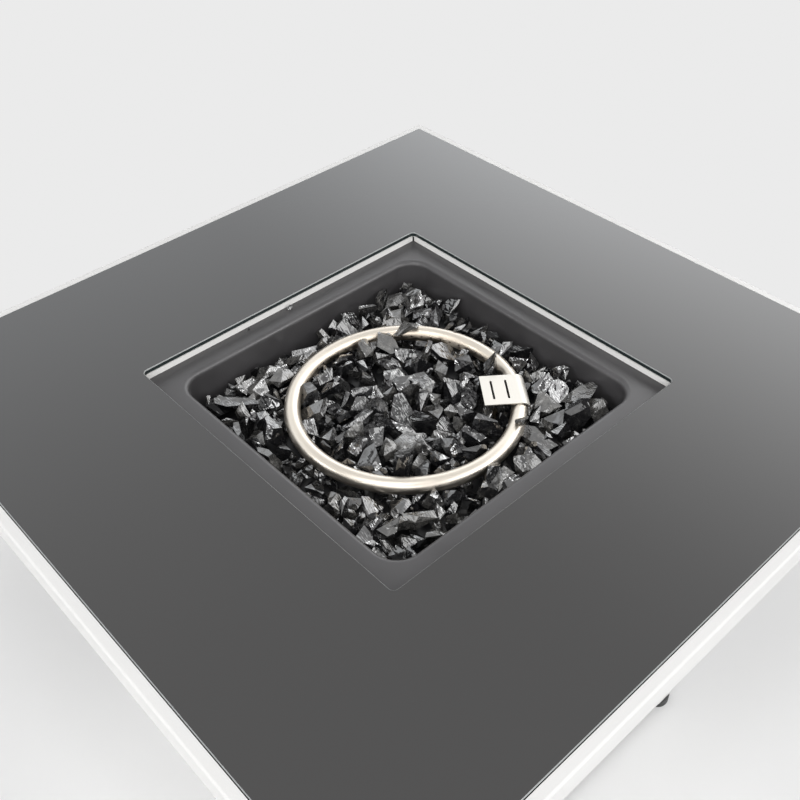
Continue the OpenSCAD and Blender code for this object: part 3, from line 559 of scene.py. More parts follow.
class Palette:
    """Makes each finish once, when it is first asked for."""

    def __init__(self) -> None:
        """Starts empty."""
        self.made: dict[str, bpy.types.Material] = {}

    def __call__(self, key: str) -> bpy.types.Material:
        """The material of a finish."""
        if key not in self.made:
            self.made[key] = FINISHES[key].make()
        return self.made[key]


NODES_BY_FINISH: dict[str, str] = {
    "glass": "glass_top",
    "silicone": "glass_pads",
    "white": "rim left_panel right_panel back_panel control_fascia door",
    # The top panel takes the lighter copy of the white coat: painted light on its shaded lips.
    "lip": "top_panel",
    "rivet": "panel_rivets",
    "zinc_sheet": "pan_rails heat_shield floor_tray",
    "pan": "burner_pan",
    "core": "fire_glass",
    "ring": "burner_ring",
    "sheet": "burner_legs pilot_bracket",
    "zinc": (
        "burner_leg_screws shield_spacers shield_bolts bottle_ring post_hinge_screws "
        "door_hinge_screws catch_screws panel_screws"
    ),
    "shield": "ignition_shield",
    "ceramic": "spark_electrode",
    "sensor": "thermocouple",
    "mixer": "air_mixer",
    "brass": "gas_jet feed_nuts valve_body valve_plug",
    "tube": "feed_tube",
    "stem": "valve_stem hinge_pins",
    "spring": "stem_spring button_spring",
    "knob": "control_knob door_pull",
    "bezel": "knob_bezel",
    "nylon": "igniter_body igniter_nut",
    "button": "igniter_button",
    "wrap": "igniter_cell",
    "lead": "spark_lead",
    "copper": "thermocouple_lead",
    "frame": (
        "top_beams outriggers post_front_left post_front_right post_back_left post_back_right "
        "base_rails"
    ),
    "foot": "feet",
    "hinge": "post_hinge_leaves door_hinge_leaves catch_strike",
    "catch": "catch_magnet",
}
NODE_FINISH = {node: key for key, nodes in NODES_BY_FINISH.items() for node in nodes.split()}


# MESHES


def piece(
    name: str, mesh: bpy.types.Mesh, materials: Iterable[bpy.types.Material]
) -> bpy.types.Object:
    """Makes a finished mesh an object at the origin.

    Args:
        name: The piece's name.
        mesh: Its mesh, already in place.
        materials: Its materials, in the order of the faces' numbers.

    Returns:
        The object, linked to the scene.
    """
    made = bpy.data.objects.new(name, mesh)
    bpy.context.scene.collection.objects.link(made)
    if mesh.materials:
        mesh.materials.clear()
    for material in materials:
        mesh.materials.append(material)
    return made


def square_loop(half: float, radius: float, z: float, steps: int = 8) -> list[Point]:
    """The points of a square with round corners, level at z."""
    points = []
    for quarter in range(4):
        turn = quarter * math.pi / 2
        centre = Vector((half - radius, half - radius, 0.0))
        for step in range(steps + 1):
            angle = step / steps * math.pi / 2
            corner = centre + radius * Vector((math.cos(angle), math.sin(angle), 0.0))
            turned = Matrix.Rotation(turn, 3, "Z") @ corner
            points.append((turned.x, turned.y, z))
    return points


def skin(
    loops: Sequence[Sequence[Point]], kinds: Optional[Sequence[int]] = None
) -> bmesh.types.BMesh:
    """Joins loops of the same number of points into one closed skin.

    Args:
        loops: The loops, each a ring of points.
        kinds: The material number of the band after each loop, where the last loop joins the
            first. Without it, the first and the last loop are filled.

    Returns:
        The mesh.
    """
    bm = bmesh.new()
    rings = [[bm.verts.new(p) for p in loop] for loop in loops]
    count = len(rings[0])
    pairs = len(rings) if kinds else len(rings) - 1
    for i in range(pairs):
        low, high = rings[i], rings[(i + 1) % len(rings)]
        for k in range(count):
            after = (k + 1) % count
            face = bm.faces.new((low[k], low[after], high[after], high[k]))
            face.material_index = kinds[i] if kinds else 0
    if not kinds:
        bmesh.ops.holes_fill(bm, edges=[edge for edge in bm.edges if edge.is_boundary])
    bmesh.ops.recalc_face_normals(bm, faces=bm.faces)
    return bm


def to_mesh(bm: bmesh.types.BMesh, name: str, smooth: Optional[float] = None) -> bpy.types.Mesh:
    """Makes a mesh of a bmesh.

    Args:
        bm: The bmesh, which is freed.
        name: The mesh's name.
        smooth: Faces that meet at less than this many degrees look smooth.

    Returns:
        The mesh.
    """
    mesh = bpy.data.meshes.new(name)
    if smooth is not None:
        limit = math.radians(smooth)
        for face in bm.faces:
            face.smooth = True
        for edge in bm.edges:
            edge.smooth = len(edge.link_faces) == 2 and edge.calc_face_angle(0.0) < limit
    bm.to_mesh(mesh)
    bm.free()
    return mesh


# REPEATED SHAPES


@dataclass
class Spread:
    """A Geometry Nodes tree that sets shapes at points, each with its own turn, size and kind."""

    name: str
    shapes: Sequence[bpy.types.Object]
    material: bpy.types.Material

    def tree(self) -> tuple[bpy.types.NodeTree, dict[str, str]]:
        """Builds the tree.

        Returns:
            The tree, and the identifier of each named input.
        """
        group = bpy.data.node_groups.new(self.name, "GeometryNodeTree")
        face = group.interface
        face.new_socket("Points", in_out="INPUT", socket_type="NodeSocketGeometry")
        names = {}
        for label, kind in (("Shapes", "Collection"), ("Size", "Float"), ("Finish", "Material")):
            made = face.new_socket(label, in_out="INPUT", socket_type=f"NodeSocket{kind}")
            names[label] = made.identifier
        face.new_socket("Pieces", in_out="OUTPUT", socket_type="NodeSocketGeometry")

        def add(kind: str, **settings: Any) -> bpy.types.Node:
            """Adds one node with its settings."""
            made = group.nodes.new(kind)
            for key, value in settings.items():
                setattr(made, key, value)
            return made

        def read(label: str, data_type: str) -> bpy.types.NodeSocket:
            """Reads an attribute of the points."""
            made = add("GeometryNodeInputNamedAttribute", data_type=data_type)
            made.inputs["Name"].default_value = label
            return made.outputs["Attribute"]

        link = group.links.new
        source, result = add("NodeGroupInput"), add("NodeGroupOutput")
        collection = add("GeometryNodeCollectionInfo")
        collection.inputs["Separate Children"].default_value = True
        collection.inputs["Reset Children"].default_value = True
        link(source.outputs["Shapes"], collection.inputs["Collection"])
        place = add("GeometryNodeInstanceOnPoints")
        place.inputs["Pick Instance"].default_value = True
        link(source.outputs["Points"], place.inputs["Points"])
        link(collection.outputs[0], place.inputs["Instance"])
        link(read("kind", "INT"), place.inputs["Instance Index"])
        turn = add("FunctionNodeEulerToRotation")
        link(read("turn", "FLOAT_VECTOR"), turn.inputs[0])
        link(turn.outputs[0], place.inputs["Rotation"])
        scale = add("ShaderNodeVectorMath", operation="SCALE")
        link(read("stretch", "FLOAT_VECTOR"), scale.inputs[0])
        link(source.outputs["Size"], scale.inputs["Scale"])
        link(scale.outputs[0], place.inputs["Scale"])
        real = add("GeometryNodeRealizeInstances")
        link(place.outputs[0], real.inputs[0])
        dress = add("GeometryNodeSetMaterial")
        link(real.outputs[0], dress.inputs[0])
        link(source.outputs["Finish"], dress.inputs["Material"])
        link(dress.outputs[0], result.inputs[0])
        return group, names

    def grow(
        self,
        points: Sequence[Point],
        turns: Sequence[Point],
        stretches: Sequence[Point],
        kinds: Sequence[int],
        tones: Optional[Sequence[float]] = None,
    ) -> bpy.types.Object:
        """Sets the shapes and makes them one plain mesh.

        Args:
            points: Where each shape goes.
            turns: Its turn about x, y and z.
            stretches: Its size along its own axes.
            kinds: Which shape it is.
            tones: A number from 0 to 1 for each, which its material reads.

        Returns:
            The object.
        """
        mesh = bpy.data.meshes.new(self.name + "_points")
        mesh.from_pydata([tuple(p) for p in points], [], [])
        for label, kind, values in (
            ("turn", "FLOAT_VECTOR", turns),
            ("stretch", "FLOAT_VECTOR", stretches),
            ("kind", "INT", kinds),
            ("tone", "FLOAT", tones or [MIDDLE_TONE] * len(kinds)),
        ):
            data = mesh.attributes.new(label, kind, "POINT").data
            slot = "vector" if kind == "FLOAT_VECTOR" else "value"
            data.foreach_set(slot, np.array(values).ravel())
        holder = bpy.data.objects.new(self.name + "_points", mesh)
        scene = bpy.context.scene.collection
        scene.objects.link(holder)
        shelf = bpy.data.collections.new(self.name + "_shapes")
        for shape in self.shapes:
            shelf.objects.link(shape)
        group, names = self.tree()
        modifier = holder.modifiers.new("spread", "NODES")
        modifier.node_group = group
        modifier[names["Shapes"]] = shelf
        modifier[names["Size"]] = 1.0
        modifier[names["Finish"]] = self.material
        graph = bpy.context.evaluated_depsgraph_get()
        result = bpy.data.meshes.new_from_object(holder.evaluated_get(graph), depsgraph=graph)
        result.name = self.name
        bpy.data.objects.remove(holder)
        for shape in list(shelf.objects):
            bpy.data.objects.remove(shape)
        bpy.data.collections.remove(shelf)
        bpy.data.node_groups.remove(group)
        return piece(self.name, result, [self.material])


# FASTENERS


@dataclass(frozen=True)
class ScrewRow:
    """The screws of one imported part."""

    node: str
    body: Body
    radius: float
    head: float
    slot: str = "fastener_zinc"


@dataclass
class Screws:
    """Pan-head screws with a cross recess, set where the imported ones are."""

    shank: float = 0.5
    length: float = 3.9
    steps: int = 24
    outer: float = 0.9
    rows: tuple[ScrewRow, ...] = (
        ScrewRow("panel_screws", Body.TABLE, 0.004, 0.002),
        ScrewRow("post_hinge_screws", Body.TABLE, 0.004, 0.002),
        ScrewRow("door_hinge_screws", Body.DOOR, 0.004, 0.002),
        ScrewRow("catch_screws", Body.TABLE, 0.004, 0.002),
        ScrewRow("burner_leg_screws", Body.TABLE, 0.0045, 0.003),
    )

    def shape(self) -> bpy.types.Object:
        """One screw whose head has radius 1 and height 1, and rests on z = 0."""

        def circle(r: float, z: float) -> list[Point]:
            """A level ring of points."""
            turn = 2 * math.pi / self.steps
            return [
                (r * math.cos(i * turn), r * math.sin(i * turn), z) for i in range(self.steps)
            ]

        def cross(reach: float, width: float, z: float) -> list[Point]:
            """The outline of the driver's cross."""
            points = []
            for i in range(self.steps):
                angle = i / self.steps * 2 * math.pi
                off = (angle + math.pi / 4) % (math.pi / 2) - math.pi / 4
                r = min(reach / math.cos(off), width / max(abs(math.sin(off)), 1e-6))
                points.append((r * math.cos(angle), r * math.sin(angle), z))
            return points

        loops = [
            circle(0.02, -self.length),
            circle(self.shank * 0.6, -self.length + 0.1),
            circle(self.shank, -self.length + 0.5),
            circle(self.shank, 0.0),
            circle(0.97, 0.0),
            circle(1.0, 0.12),
            circle(0.97, 0.42),
            circle(0.86, 0.76),
            circle(0.7, 0.94),
            circle(0.58, 0.99),
            cross(0.5, 0.13, 0.985),
            cross(0.4, 0.1, 0.35),
            circle(0.02, 0.2),
        ]
        return bpy.data.objects.new("screw_shape", to_mesh(skin(loops), "screw_shape", 38.0))

    @staticmethod
    def islands(mesh: bpy.types.Mesh) -> list[np.ndarray]:
        """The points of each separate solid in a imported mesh."""
        bm = bmesh.new()
        bm.from_mesh(mesh)
        bmesh.ops.remove_doubles(bm, verts=bm.verts, dist=1e-6)
        found, seen = [], set()
        for start in bm.verts:
            if start in seen:
                continue
            seen.add(start)
            group, queue = [], [start]
            while queue:
                vert = queue.pop()
                group.append(tuple(vert.co))
                for edge in vert.link_edges:
                    other = edge.other_vert(vert)
                    if other not in seen:
                        seen.add(other)
                        queue.append(other)
            found.append(np.array(group))
        bm.free()
        return found

    def place(self, points: np.ndarray, row: ScrewRow, number: int) -> tuple[Point, Point]:
        """Where one packed screw's head rests, and how it is turned.

        Args:
            points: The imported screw's points.
            row: What screws they are.
            number: The screw's number, which sets how far it was driven round.

        Returns:
            The place, and the turn about x, y and z.
        """
        low, high = points.min(axis=0), points.max(axis=0)
        size = high - low
        axis = int(np.argmax([abs(size[k] - 2 * row.radius) for k in range(3)]))
        middle = (low + high) / 2
        off = np.delete(points - middle, axis, axis=1)
        outer = np.hypot(off[:, 0], off[:, 1]) > self.outer * row.radius
        wide = points[outer][:, axis].mean()
        sign = 1.0 if wide > middle[axis] else -1.0
        way = Vector((0.0, 0.0, 0.0))
        way[axis] = sign
        place = Vector(middle)
        place[axis] = (high if sign > 0 else low)[axis] - sign * row.head
        spin = Matrix.Rotation(number * GOLDEN_TURN, 3, "Z")
        turn = (way.to_track_quat("Z", "Y").to_matrix() @ spin).to_euler()
        return tuple(place), tuple(turn)

    def build(self, frame: dict[str, Any], palette: Palette) -> None:
        """Builds every row of screws.

        Args:
            frame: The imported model.
            palette: The finishes.
        """
        for row in self.rows:
            solids = self.islands(frame["nodes"][row.node].data)
            places = [self.place(points, row, i) for i, points in enumerate(solids)]
            spread = Spread(f"{row.node}_cross_head", [self.shape()], palette("zinc"))
            made = spread.grow(
                [place for place, _ in places],
                [turn for _, turn in places],
                [(row.radius, row.radius, row.head)] * len(places),
                [0] * len(places),
            )
            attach(made, row.body.value)
            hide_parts(row.node)
            log.info("%s: %d screws", row.node, len(places))


# THE SPRINGS


@dataclass(frozen=True)
class PushSpring:
    """A coil spring, wound where the imported one is."""

    node: str
    held: Body
    pushed: Body
    wire: float
    turns: int = 4
    steps: int = 24
    sides: int = 8

    def build(self, palette: Palette) -> None:
        """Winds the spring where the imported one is.

        Args:
            palette: The finishes.
        """
        low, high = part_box(self.node)
        x, z = (low.x + high.x) / 2, (low.z + high.z) / 2
        radius = (high.x - low.x) / 2 - self.wire
        run = high.y - low.y - 2 * self.wire
        count = self.turns * self.steps
        along = Vector((0.0, self.wire, 0.0))
        sides = [2 * math.pi * k / self.sides for k in range(self.sides)]
        loops = []
        for i in range(count + 1):
            angle = 2 * math.pi * i / self.steps
            out = Vector((math.cos(angle), 0.0, math.sin(angle)))
            centre = Vector((x, low.y + self.wire + run * i / count, z)) + out * radius
            loops.append(
                [
                    tuple(centre + out * self.wire * math.cos(side) + along * math.sin(side))
                    for side in sides
                ]
            )
        mesh = to_mesh(skin(loops), self.node, SMOOTH)
        made = piece(f"{self.node}_coil", mesh, [palette("spring")])
        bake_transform(made)
        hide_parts(self.node)
        log.info("%s: %d turns", self.node, self.turns)


PUSH_SPRINGS: tuple[PushSpring, ...] = (
    PushSpring("stem_spring", Body.PLUG, Body.KNOB, 0.0004),
    PushSpring("button_spring", Body.TABLE, Body.BUTTON, 0.0005),
)


# THE GAS KNOB


@dataclass
class GasKnob:
    """The gas knob: a turned skirt, a fluted grip and a black index line."""

    radius: float = 0.022
    grip: float = 0.0182
    skirt: float = 0.006
    flutes: int = 32
    steps_per_flute: int = 8
    depth: float = 0.0007
    line: Point = (0.0022, 0.0028, 0.0108)
    line_at: Point = (0.0, 0.0016, 0.0094)

    def build(self, palette: Palette) -> None:
        """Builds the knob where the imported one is.

        Args:
            palette: The finishes.
        """
        low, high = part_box("control_knob")
        back, front = high.y, low.y
        step = back - self.skirt
        centre = Vector(((low.x + high.x) / 2, 0.0, (low.z + high.z) / 2))
        count = self.flutes * self.steps_per_flute

        def ring(radius: float, y: float, fluted: float = 0.0) -> list[Point]:
            """A ring of points round the knob's axis, hollowed where it is fluted."""
            points = []
            for i in range(count):
                angle = i / count * 2 * math.pi
                wave = 0.5 - 0.5 * math.cos(angle * self.flutes)
                reach = radius - fluted * self.depth * wave**3
                x, z = reach * math.cos(angle), reach * math.sin(angle)
                points.append((centre.x + x, y, centre.z + z))
            return points

        loops = [
            ring(0.0005, back - 0.0004),
            ring(self.radius - 0.0006, back - 0.0004),
            ring(self.radius, back - 0.001),
            ring(self.radius, step + 0.0012),
            ring(self.radius - 0.0006, step + 0.0003),
            ring(self.grip + 0.0012, step),
            ring(self.grip, step - 0.0008),
            ring(self.grip, step - 0.0022),
            ring(self.grip, step - 0.0034, 1.0),
            ring(self.grip, front + 0.004, 1.0),
            ring(self.grip, front + 0.0028),
            ring(self.grip - 0.0004, front + 0.001),
            ring(self.grip - 0.0013, front + 0.0002),
            ring(self.grip - 0.003, front + 0.0006),
            ring(0.0005, front + 0.0008),
        ]
        bm = skin(loops)
        place = Vector((centre.x, front, centre.z)) + Vector(self.line_at)
        matrix = Matrix.LocRotScale(place, None, Vector(self.line))
        mark = bmesh.ops.create_cube(bm, size=1.0, matrix=matrix)
        for face in {face for vert in mark["verts"] for face in vert.link_faces}:
            face.material_index = 1
        mesh = to_mesh(bm, "fluted_gas_knob", SMOOTH)
        made = piece("fluted_gas_knob", mesh, [palette("knob"), palette("nylon")])
        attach(made, Body.KNOB.value)
        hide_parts("control_knob")
        log.info("gas knob: %d flutes", self.flutes)


# THE GLASS TOP


@dataclass
class GlassTop:
    """The glass with its ground edges, over the white rim."""

    half: float = 0.4192
    corner: float = 0.004
    opening: float = 0.21
    opening_corner: float = 0.006
    arris: float = 0.0009

    def build(self, palette: Palette) -> None:
        """Builds the glass.

        Args:
            palette: The finishes.
        """
        low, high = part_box("glass_top")
        bottom, top, cut = low.z, high.z, self.arris
        loops = [
            square_loop(self.half - cut, self.corner - cut, top),
            square_loop(self.opening + cut, self.opening_corner + cut, top),
            square_loop(self.opening, self.opening_corner, top - cut),
            square_loop(self.opening, self.opening_corner, bottom + cut),
            square_loop(self.opening + cut, self.opening_corner + cut, bottom),
            square_loop(self.half - cut, self.corner - cut, bottom),
            square_loop(self.half, self.corner, bottom + cut),
            square_loop(self.half, self.corner, top - cut),
        ]
        bm = skin(loops, [0, 1, 2, 1, 0, 1, 2, 1])
        mesh = to_mesh(bm, "tempered_glass", 20.0)
        made = piece("tempered_glass", mesh, [palette(key) for key in ("glass", "arris", "edge")])
        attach(made, Body.TABLE.value)
        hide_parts("glass_top")
        log.info("glass top: 1 pane")


# THE CRUSHED GLASS


@dataclass
class Stone:
    """One stone's place and size."""

    x: float
    y: float
    z: float
    r: float


@dataclass
class CrushedGlass:
    """The loose bed: stones dropped one after another until the bowl is full."""

    half: float = 0.1795
    corner: float = 0.026
    tube_r: float = 0.0095
    pilot_angle: float = math.radians(-38.0)
    shield_half: float = 0.025
    shield_reach: float = 0.042
    shield_beyond: float = 0.012
    shield_gap: float = 0.002
    wall_share: float = 0.9
    tube_share: float = 0.72
    over_share: float = 0.3
    top_share: float = 1.15
    fill: float = 0.006
    heave: float = 0.004
    waves: tuple[Range, Range] = ((31.0, 1.3), (27.0, -0.4))
    trench: float = 0.009
    trench_at: float = 0.008
    trench_run: float = 0.02
    trench_to: Range = (0.03, 0.06)
    sag: float = 0.011
    sag_run: float = 0.04
    tries: int = 24
    patience: int = 60
    scale: float = 1.3
    sides: tuple[Range, Range, Range] = ((0.95, 1.4), (0.8, 1.1), (0.55, 0.9))
    shapes: int = 24
    corners: tuple[int, int] = (9, 12)
    corner_reach: Range = (0.72, 1.12)
    cuts: tuple[int, int] = (9, 13)
    cut_reach: Range = (0.36, 0.84)
    merge: float = 0.07
    broad: float = 0.1
    hollows: Range = (-0.17, 0.04)
    seed: int = 5
    grades: tuple[tuple[int, float, float, float], ...] = (
        (150, 0.0070, 0.0100, 0.010),
        (400, 0.0102, 0.0165, 0.0),
        (150, 0.0080, 0.0110, 0.001),
        (240, 0.0045, 0.0075, 0.004),
    )
    strays: tuple[tuple[float, float, float, float], ...] = (
        (0.0835, 0.0905, 0.6085, 0.0125),
        (0.0670, -0.1185, 0.6065, 0.0085),
        (-0.0080, -0.1530, 0.5975, 0.0150),
        (-0.0630, -0.1430, 0.5950, 0.0130),
        (-0.0050, 0.2060, 0.6216, 0.0022),
        (-0.0657, 0.2060, 0.6215, 0.0018),
    )

    def __post_init__(self) -> None:
        """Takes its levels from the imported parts."""
        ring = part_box("burner_ring")[1]
        self.ring_r = ring.x - self.tube_r
        self.ring_z = ring.z - self.tube_r
        self.core_z = self.ring_z - 0.022
        self.shield_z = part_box("ignition_shield")[1].z
        self.rng = random.Random(self.seed)

    def in_bowl(self, x: float, y: float, r: float) -> bool:
        """Whether a stone of radius r at x, y is inside the bowl's walls."""
        keep = self.wall_share * r
        reach = self.half - keep
        inner = self.half - self.corner
        if abs(x) > reach or abs(y) > reach:
            return False
        dx, dy = abs(x) - inner, abs(y) - inner
        return dx < 0 or dy < 0 or math.hypot(dx, dy) < self.corner - keep + 0.004

    def clear_of_burner(self, x: float, y: float, z: float, r: float) -> bool:
        """Whether a stone is clear of the ring, the shield and what is under the shield."""
        off = math.hypot(x, y) - self.ring_r
        if math.hypot(off, z - self.ring_z) < self.tube_r + self.tube_share * r:
            return False
        if abs(off) < self.tube_r + self.over_share * r and z > self.ring_z - self.tube_r:
            return False
        u = x * math.cos(self.pilot_angle) + y * math.sin(self.pilot_angle)
        v = y * math.cos(self.pilot_angle) - x * math.sin(self.pilot_angle)
        keep = self.wall_share * r
        inward = self.ring_r - self.shield_reach - keep
        near = abs(v) < self.shield_half + keep and inward < u < self.ring_r + self.shield_beyond
        return not (near and z + self.top_share * r > self.shield_z - self.shield_gap)

    def level(self, x: float, y: float) -> float:
        """The height that the bed is filled to at x, y."""
        wall = min(self.half - abs(x), self.half - abs(y))
        (pace_x, shift_x), (pace_y, shift_y) = self.waves
        lump = math.sin(x * pace_x + shift_x) * math.sin(y * pace_y + shift_y)
        level = self.ring_z + self.fill + self.heave * lump
        off = math.hypot(x, y) - self.ring_r - self.tube_r
        if off > 0 and x < self.trench_to[0] and y < self.trench_to[1]:
            level -= self.trench * max(0.0, 1.0 - abs(off - self.trench_at) / self.trench_run)
        return level - self.sag * max(0.0, 1.0 - wall / self.sag_run)

    def settle(self) -> list[Stone]:
        """Drops the stones, the coarse grades first.

        Returns:
            The stones that found a place.
        """
        laid = np.zeros((sum(grade[0] for grade in self.grades), 4))
        n = 0
        for count, small, large, under in self.grades:
            misses = 0
            for _ in range(count):
                r = self.rng.uniform(small, large)
                best: Optional[Stone] = None
                for _ in range(self.tries):
                    x = self.rng.uniform(-self.half, self.half)
                    y = self.rng.uniform(-self.half, self.half)
                    if not self.in_bowl(x, y, r):
                        continue
                    z = self.rest(laid[:n], x, y, r)
                    if z + 0.5 * r > self.level(x, y) - under:
                        continue
                    if self.clear_of_burner(x, y, z, r) and (best is None or z < best.z):
                        best = Stone(x, y, z, r)
                if best is not None:
                    laid[n] = (best.x, best.y, best.z, best.r)
                    n += 1
                misses = 0 if best is not None else misses + 1
                if misses > self.patience:
                    break
        return [Stone(*row) for row in laid[:n]] + [Stone(*row) for row in self.strays]

    def rest(self, laid: np.ndarray, x: float, y: float, r: float) -> float:
        """The height at which a stone of radius r comes to rest on the laid ones."""
        z = self.core_z + 0.4 * r
        if len(laid):
            gap = (laid[:, 0] - x) ** 2 + (laid[:, 1] - y) ** 2
            touch = (0.8 * (laid[:, 3] + r)) ** 2 - gap
            near = touch > 0
            if near.any():
                z = max(z, float((laid[near, 2] + np.sqrt(touch[near])).max()))
        return z

    def shape(self, number: int) -> bpy.types.Object:
        """One broken stone about 2 across: a block split along planes, its breaks hollowed.

        Args:
            number: The shape's number, which sets its random cuts.

        Returns:
            The shape, not linked to the scene.
        """
        rng = random.Random(self.seed * 100 + number)

        def way() -> Vector:
            """A random direction."""
            return Vector((rng.gauss(0, 1), rng.gauss(0, 1), rng.gauss(0, 1))).normalized()

        bm = bmesh.new()
        if number % 2:
            count = rng.randint(*self.corners)
            corners = [
                bm.verts.new(way() * rng.uniform(*self.corner_reach)) for _ in range(count)
            ]
            hull = bmesh.ops.convex_hull(bm, input=corners)
            loose = [v for v in hull["geom_interior"] if isinstance(v, bmesh.types.BMVert)]
            bmesh.ops.delete(bm, geom=loose, context="VERTS")
        else:
            bmesh.ops.create_cube(bm, size=2.0)
            for _ in range(rng.randint(*self.cuts)):
                side = way()
                place = side * rng.uniform(*self.cut_reach)
                geometry = bm.verts[:] + bm.edges[:] + bm.faces[:]
                cut = bmesh.ops.bisect_plane(
                    bm, geom=geometry, plane_co=place, plane_no=side, clear_outer=True
                )
                rim = [e for e in cut["geom_cut"] if isinstance(e, bmesh.types.BMEdge)]
                if rim:
                    bmesh.ops.edgeloop_fill(bm, edges=rim)
        bmesh.ops.remove_doubles(bm, verts=bm.verts, dist=self.merge)
        bmesh.ops.recalc_face_normals(bm, faces=bm.faces)
        for edge in bm.edges:
            edge.smooth = False
        for face in list(bm.faces):
            area = face.calc_area()
            if area > self.broad and len(face.verts) > 2:
                hollow = math.sqrt(area) * rng.uniform(*self.hollows)
                bmesh.ops.poke(bm, faces=[face], offset=hollow, center_mode="MEAN_WEIGHTED")
        bmesh.ops.triangulate(bm, faces=[f for f in bm.faces if len(f.verts) > 3])
        for face in bm.faces:
            face.smooth = True
        mesh = to_mesh(bm, f"stone_shape_{number}")
        return bpy.data.objects.new(f"stone_shape_{number:02d}", mesh)

    def build(self, palette: Palette) -> None:
        """Builds the deep bed and the stones on it.

        Args:
            palette: The finishes.
        """
        stones = self.settle()
        log.info("crushed glass: %d stones", len(stones))
        rng = self.rng
        shapes = [self.shape(i) for i in range(self.shapes)]
        turns = [tuple(rng.uniform(-math.pi, math.pi) for _ in range(3)) for _ in stones]
        stretches = []
        for stone in stones:
            size = stone.r * self.scale
            stretches.append(tuple(size * rng.uniform(*side) for side in self.sides))
        kinds = [rng.randrange(self.shapes) for _ in stones]
        tones = [rng.random() for _ in stones]
        spread = Spread("crushed_glass_stones", shapes, palette("stones"))
        made = spread.grow([(s.x, s.y, s.z) for s in stones], turns, stretches, kinds, tones)
        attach(made, Body.TABLE.value)
        core = self.core(palette)
        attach(core, Body.TABLE.value)
        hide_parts("fire_glass")

    def core(self, palette: Palette) -> bpy.types.Object:
        """The dark mass of glass under the stones."""
        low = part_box("fire_glass")[0].z + 0.0003
        top = self.core_z
        loops = [
            square_loop(0.001, 0.0005, low),
            square_loop(self.half - 0.012, self.corner - 0.01, low),
            square_loop(self.half - 0.001, self.corner, low + 0.012),
            square_loop(self.half - 0.001, self.corner, top),
            square_loop(0.001, 0.0005, top + 0.002),
        ]
        return piece("deep_bed", to_mesh(skin(loops), "deep_bed", SMOOTH), [palette("core")])


# THE STAGE


@dataclass(frozen=True)
class Lamp:
    """One soft square lamp that looks at the table."""

    name: str
    place: Point
    size: float
    glow: float
    shine: Shine = Shine.BOTH
    aim: Point = (0.0, 0.0, 0.6)

    def hang(self) -> None:
        """Hangs the lamp; its power gives a square of its size the wanted glow."""
        data = bpy.data.lights.new(self.name, "AREA")
        data.shape = "SQUARE"
        data.size = self.size
        data.energy = self.glow * math.pi * self.size**2
        made = bpy.data.objects.new(self.name, data)
        bpy.context.scene.collection.objects.link(made)
        made.location = self.place
        made.rotation_mode = "QUATERNION"
        way = Vector(self.aim) - Vector(self.place)
        made.rotation_quaternion = way.to_track_quat("-Z", "Y")
        made.visible_glossy = self.shine.value


LAMPS = (
    Lamp("front", (-2.0, -2.3, 2.7), 2.2, 3.9, Shine.MATT),
    Lamp("left", (-2.4, 1.2, 2.0), 0.8, 6.0),
    Lamp("right", (1.6, -2.2, 2.2), 0.8, 6.0),
    Lamp("above", (-0.6, -0.6, 3.3), 0.5, 11.0),
    Lamp("low_left", (-2.7, -0.6, 1.5), 0.36, 20.0),
    Lamp("low_right", (0.4, -2.8, 1.6), 0.36, 20.0),
)


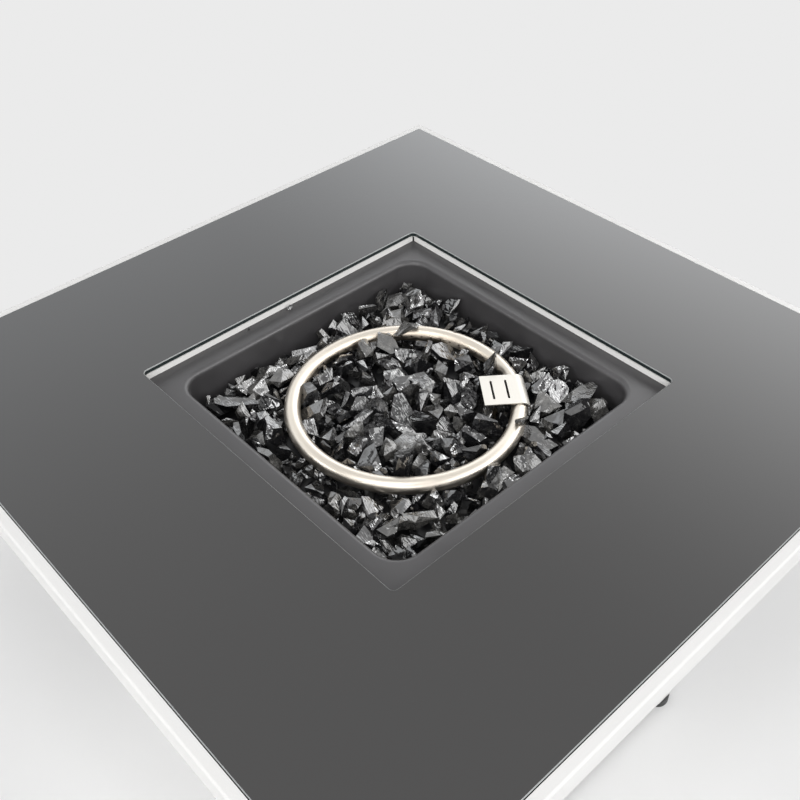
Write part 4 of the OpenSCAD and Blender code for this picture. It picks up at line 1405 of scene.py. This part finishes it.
@dataclass
class Stage:
    """The floor, the room, the lamps and the camera.

    A range of x, y or z is one of a direction's own x, y or z, over which the room changes.
    """

    lens: float = 45.09
    sensor: float = 36.0
    eye: Point = (-0.5725, -0.6280, 0.7288)
    ahead: Point = (0.4968, 0.5532, -0.6687)
    up: Point = (0.4615, 0.4841, 0.7434)
    glass_z: float = 0.635
    diffuse: float = 0.45
    horizon: float = 0.75
    mirrored: float = 1.15
    rise_z: Range = (0.08, 0.42)
    bright: Range = (3.5, 0.75)
    bright_x: Range = (0.42, 0.87)
    bright_y: Range = (0.3, 0.8)
    fade_in_z: Range = (0.12, 0.42)
    fade_out_z: Range = (0.48, 0.9)
    sky: Colour = (0.94, 0.97, 1.0)
    windows: Range = (0.7, 3.9)
    window_z: Range = (0.25, 0.42)
    window_size: float = 0.7
    window_rim: Range = (0.4, 0.52)
    ahead_xy: Range = (-0.35, 0.15)
    backdrop: float = 0.83
    run_out: Range = (0.5, 1.3)

    def floor(self) -> None:
        """Lays the pale floor."""
        bm = bmesh.new()
        bmesh.ops.create_grid(bm, x_segments=2, y_segments=2, size=40.0)
        made = piece("floor", to_mesh(bm, "floor"), [self.floor_finish()])

    def floor_finish(self) -> bpy.types.Material:
        """A pale matt floor with the table's shadow, which runs out into the pale backdrop."""
        net = Net("pale_floor")
        cloud = net.noise(0.8, 3.0)
        x, y, _ = net.parts()
        away = ((x * x + y * y) ** 0.5).span(*self.run_out)
        camera = net.node("ShaderNodeLightPath", out="Is Camera Ray")
        values = {"Base Color": net.tone((0.84, 0.84, 0.84), cloud, 0.99, 1.01), "Roughness": 0.85}
        matt = net.node("ShaderNodeBsdfPrincipled", {}, values, "BSDF")
        pale = net.node("ShaderNodeEmission", {}, {"Strength": self.backdrop})
        shade = net.node("ShaderNodeMixShader", {}, {0: away * camera, 1: matt, 2: pale})
        net.node("ShaderNodeOutputMaterial", {}, {"Surface": shade})
        return net.holder

    def world(self) -> None:
        """Lights the room evenly, and shows gloss a brighter room beyond the table."""
        world = bpy.data.worlds.new("studio")
        bpy.context.scene.world = world
        net = Net("studio", world, "Generated")
        x, y, z = net.parts()
        low = z.span(*self.fade_out_z, 1.0, 0.0) * z.span(*self.fade_in_z)
        beyond = x.span(*self.bright_x) * self.bright[0] + y.span(*self.bright_y) * self.bright[1]
        beyond = beyond * low
        path = net.node("ShaderNodeLightPath").socket.node.outputs
        rays = ("Is Camera Ray", "Is Glossy Ray", "Is Transmission Ray")
        camera, glossy, through = (Wire(net, path[name]) for name in rays)
        mirrored = glossy + through
        level = z.span(*self.rise_z, self.horizon, self.mirrored)
        windows = net.noise(self.window_size, 1.0).span(*self.window_rim, *self.windows)
        windows = z.span(*self.window_z) * (windows - level) + level
        ahead = (x + y).span(*self.ahead_xy)
        shown = ahead * (beyond + level - windows) + windows
        strength = mirrored * (shown - self.diffuse) + self.diffuse
        strength = camera * (self.backdrop - strength) + strength
        colour = net.between((1.0, 1.0, 1.0), self.sky, y * low * glossy)
        light = net.node("ShaderNodeBackground", {}, {"Color": colour, "Strength": strength})
        net.node("ShaderNodeOutputWorld", {}, {"Surface": light})

    def camera(self) -> None:
        """Sets the camera where the photograph was taken from."""
        data = bpy.data.cameras.new("camera")
        data.lens = self.lens
        data.sensor_width = self.sensor
        data.clip_start, data.clip_end = 0.01, 100.0
        made = bpy.data.objects.new("camera", data)
        bpy.context.scene.collection.objects.link(made)
        ahead = Vector(self.ahead).normalized()
        up = Vector(self.up)
        up = (up - ahead * up.dot(ahead)).normalized()
        side = ahead.cross(up)
        turn = Matrix((side, up, -ahead)).transposed()
        place = Vector(self.eye) + Vector((0.0, 0.0, self.glass_z))
        made.matrix_world = Matrix.Translation(place) @ turn.to_4x4()
        bpy.context.scene.camera = made

    def build(self) -> None:
        """Sets up the whole stage."""
        self.camera()
        self.world()
        self.floor()
        for lamp in LAMPS:
            lamp.hang()
        bpy.context.scene.view_settings.view_transform = "Standard"


def dress_nodes(frame: dict[str, Any], palette: Palette) -> None:
    """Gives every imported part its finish.

    Args:
        frame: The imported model.
        palette: The finishes.
    """
    for name, made in frame["nodes"].items():
        made.data.materials.clear()
        made.data.materials.append(palette(NODE_FINISH[name]))


def main() -> None:
    """Builds the looks and sets the stage."""
    logging.basicConfig(level=logging.INFO, format="%(message)s")
    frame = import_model()
    palette = Palette()
    stage = Stage()
    stage.build()
    dress_nodes(frame, palette)
    GlassTop().build(palette)
    CrushedGlass().build(palette)
    Screws().build(frame, palette)
    for spring in PUSH_SPRINGS:
        spring.build(palette)
    GasKnob().build(palette)


if __name__ == "__main__":
    main()
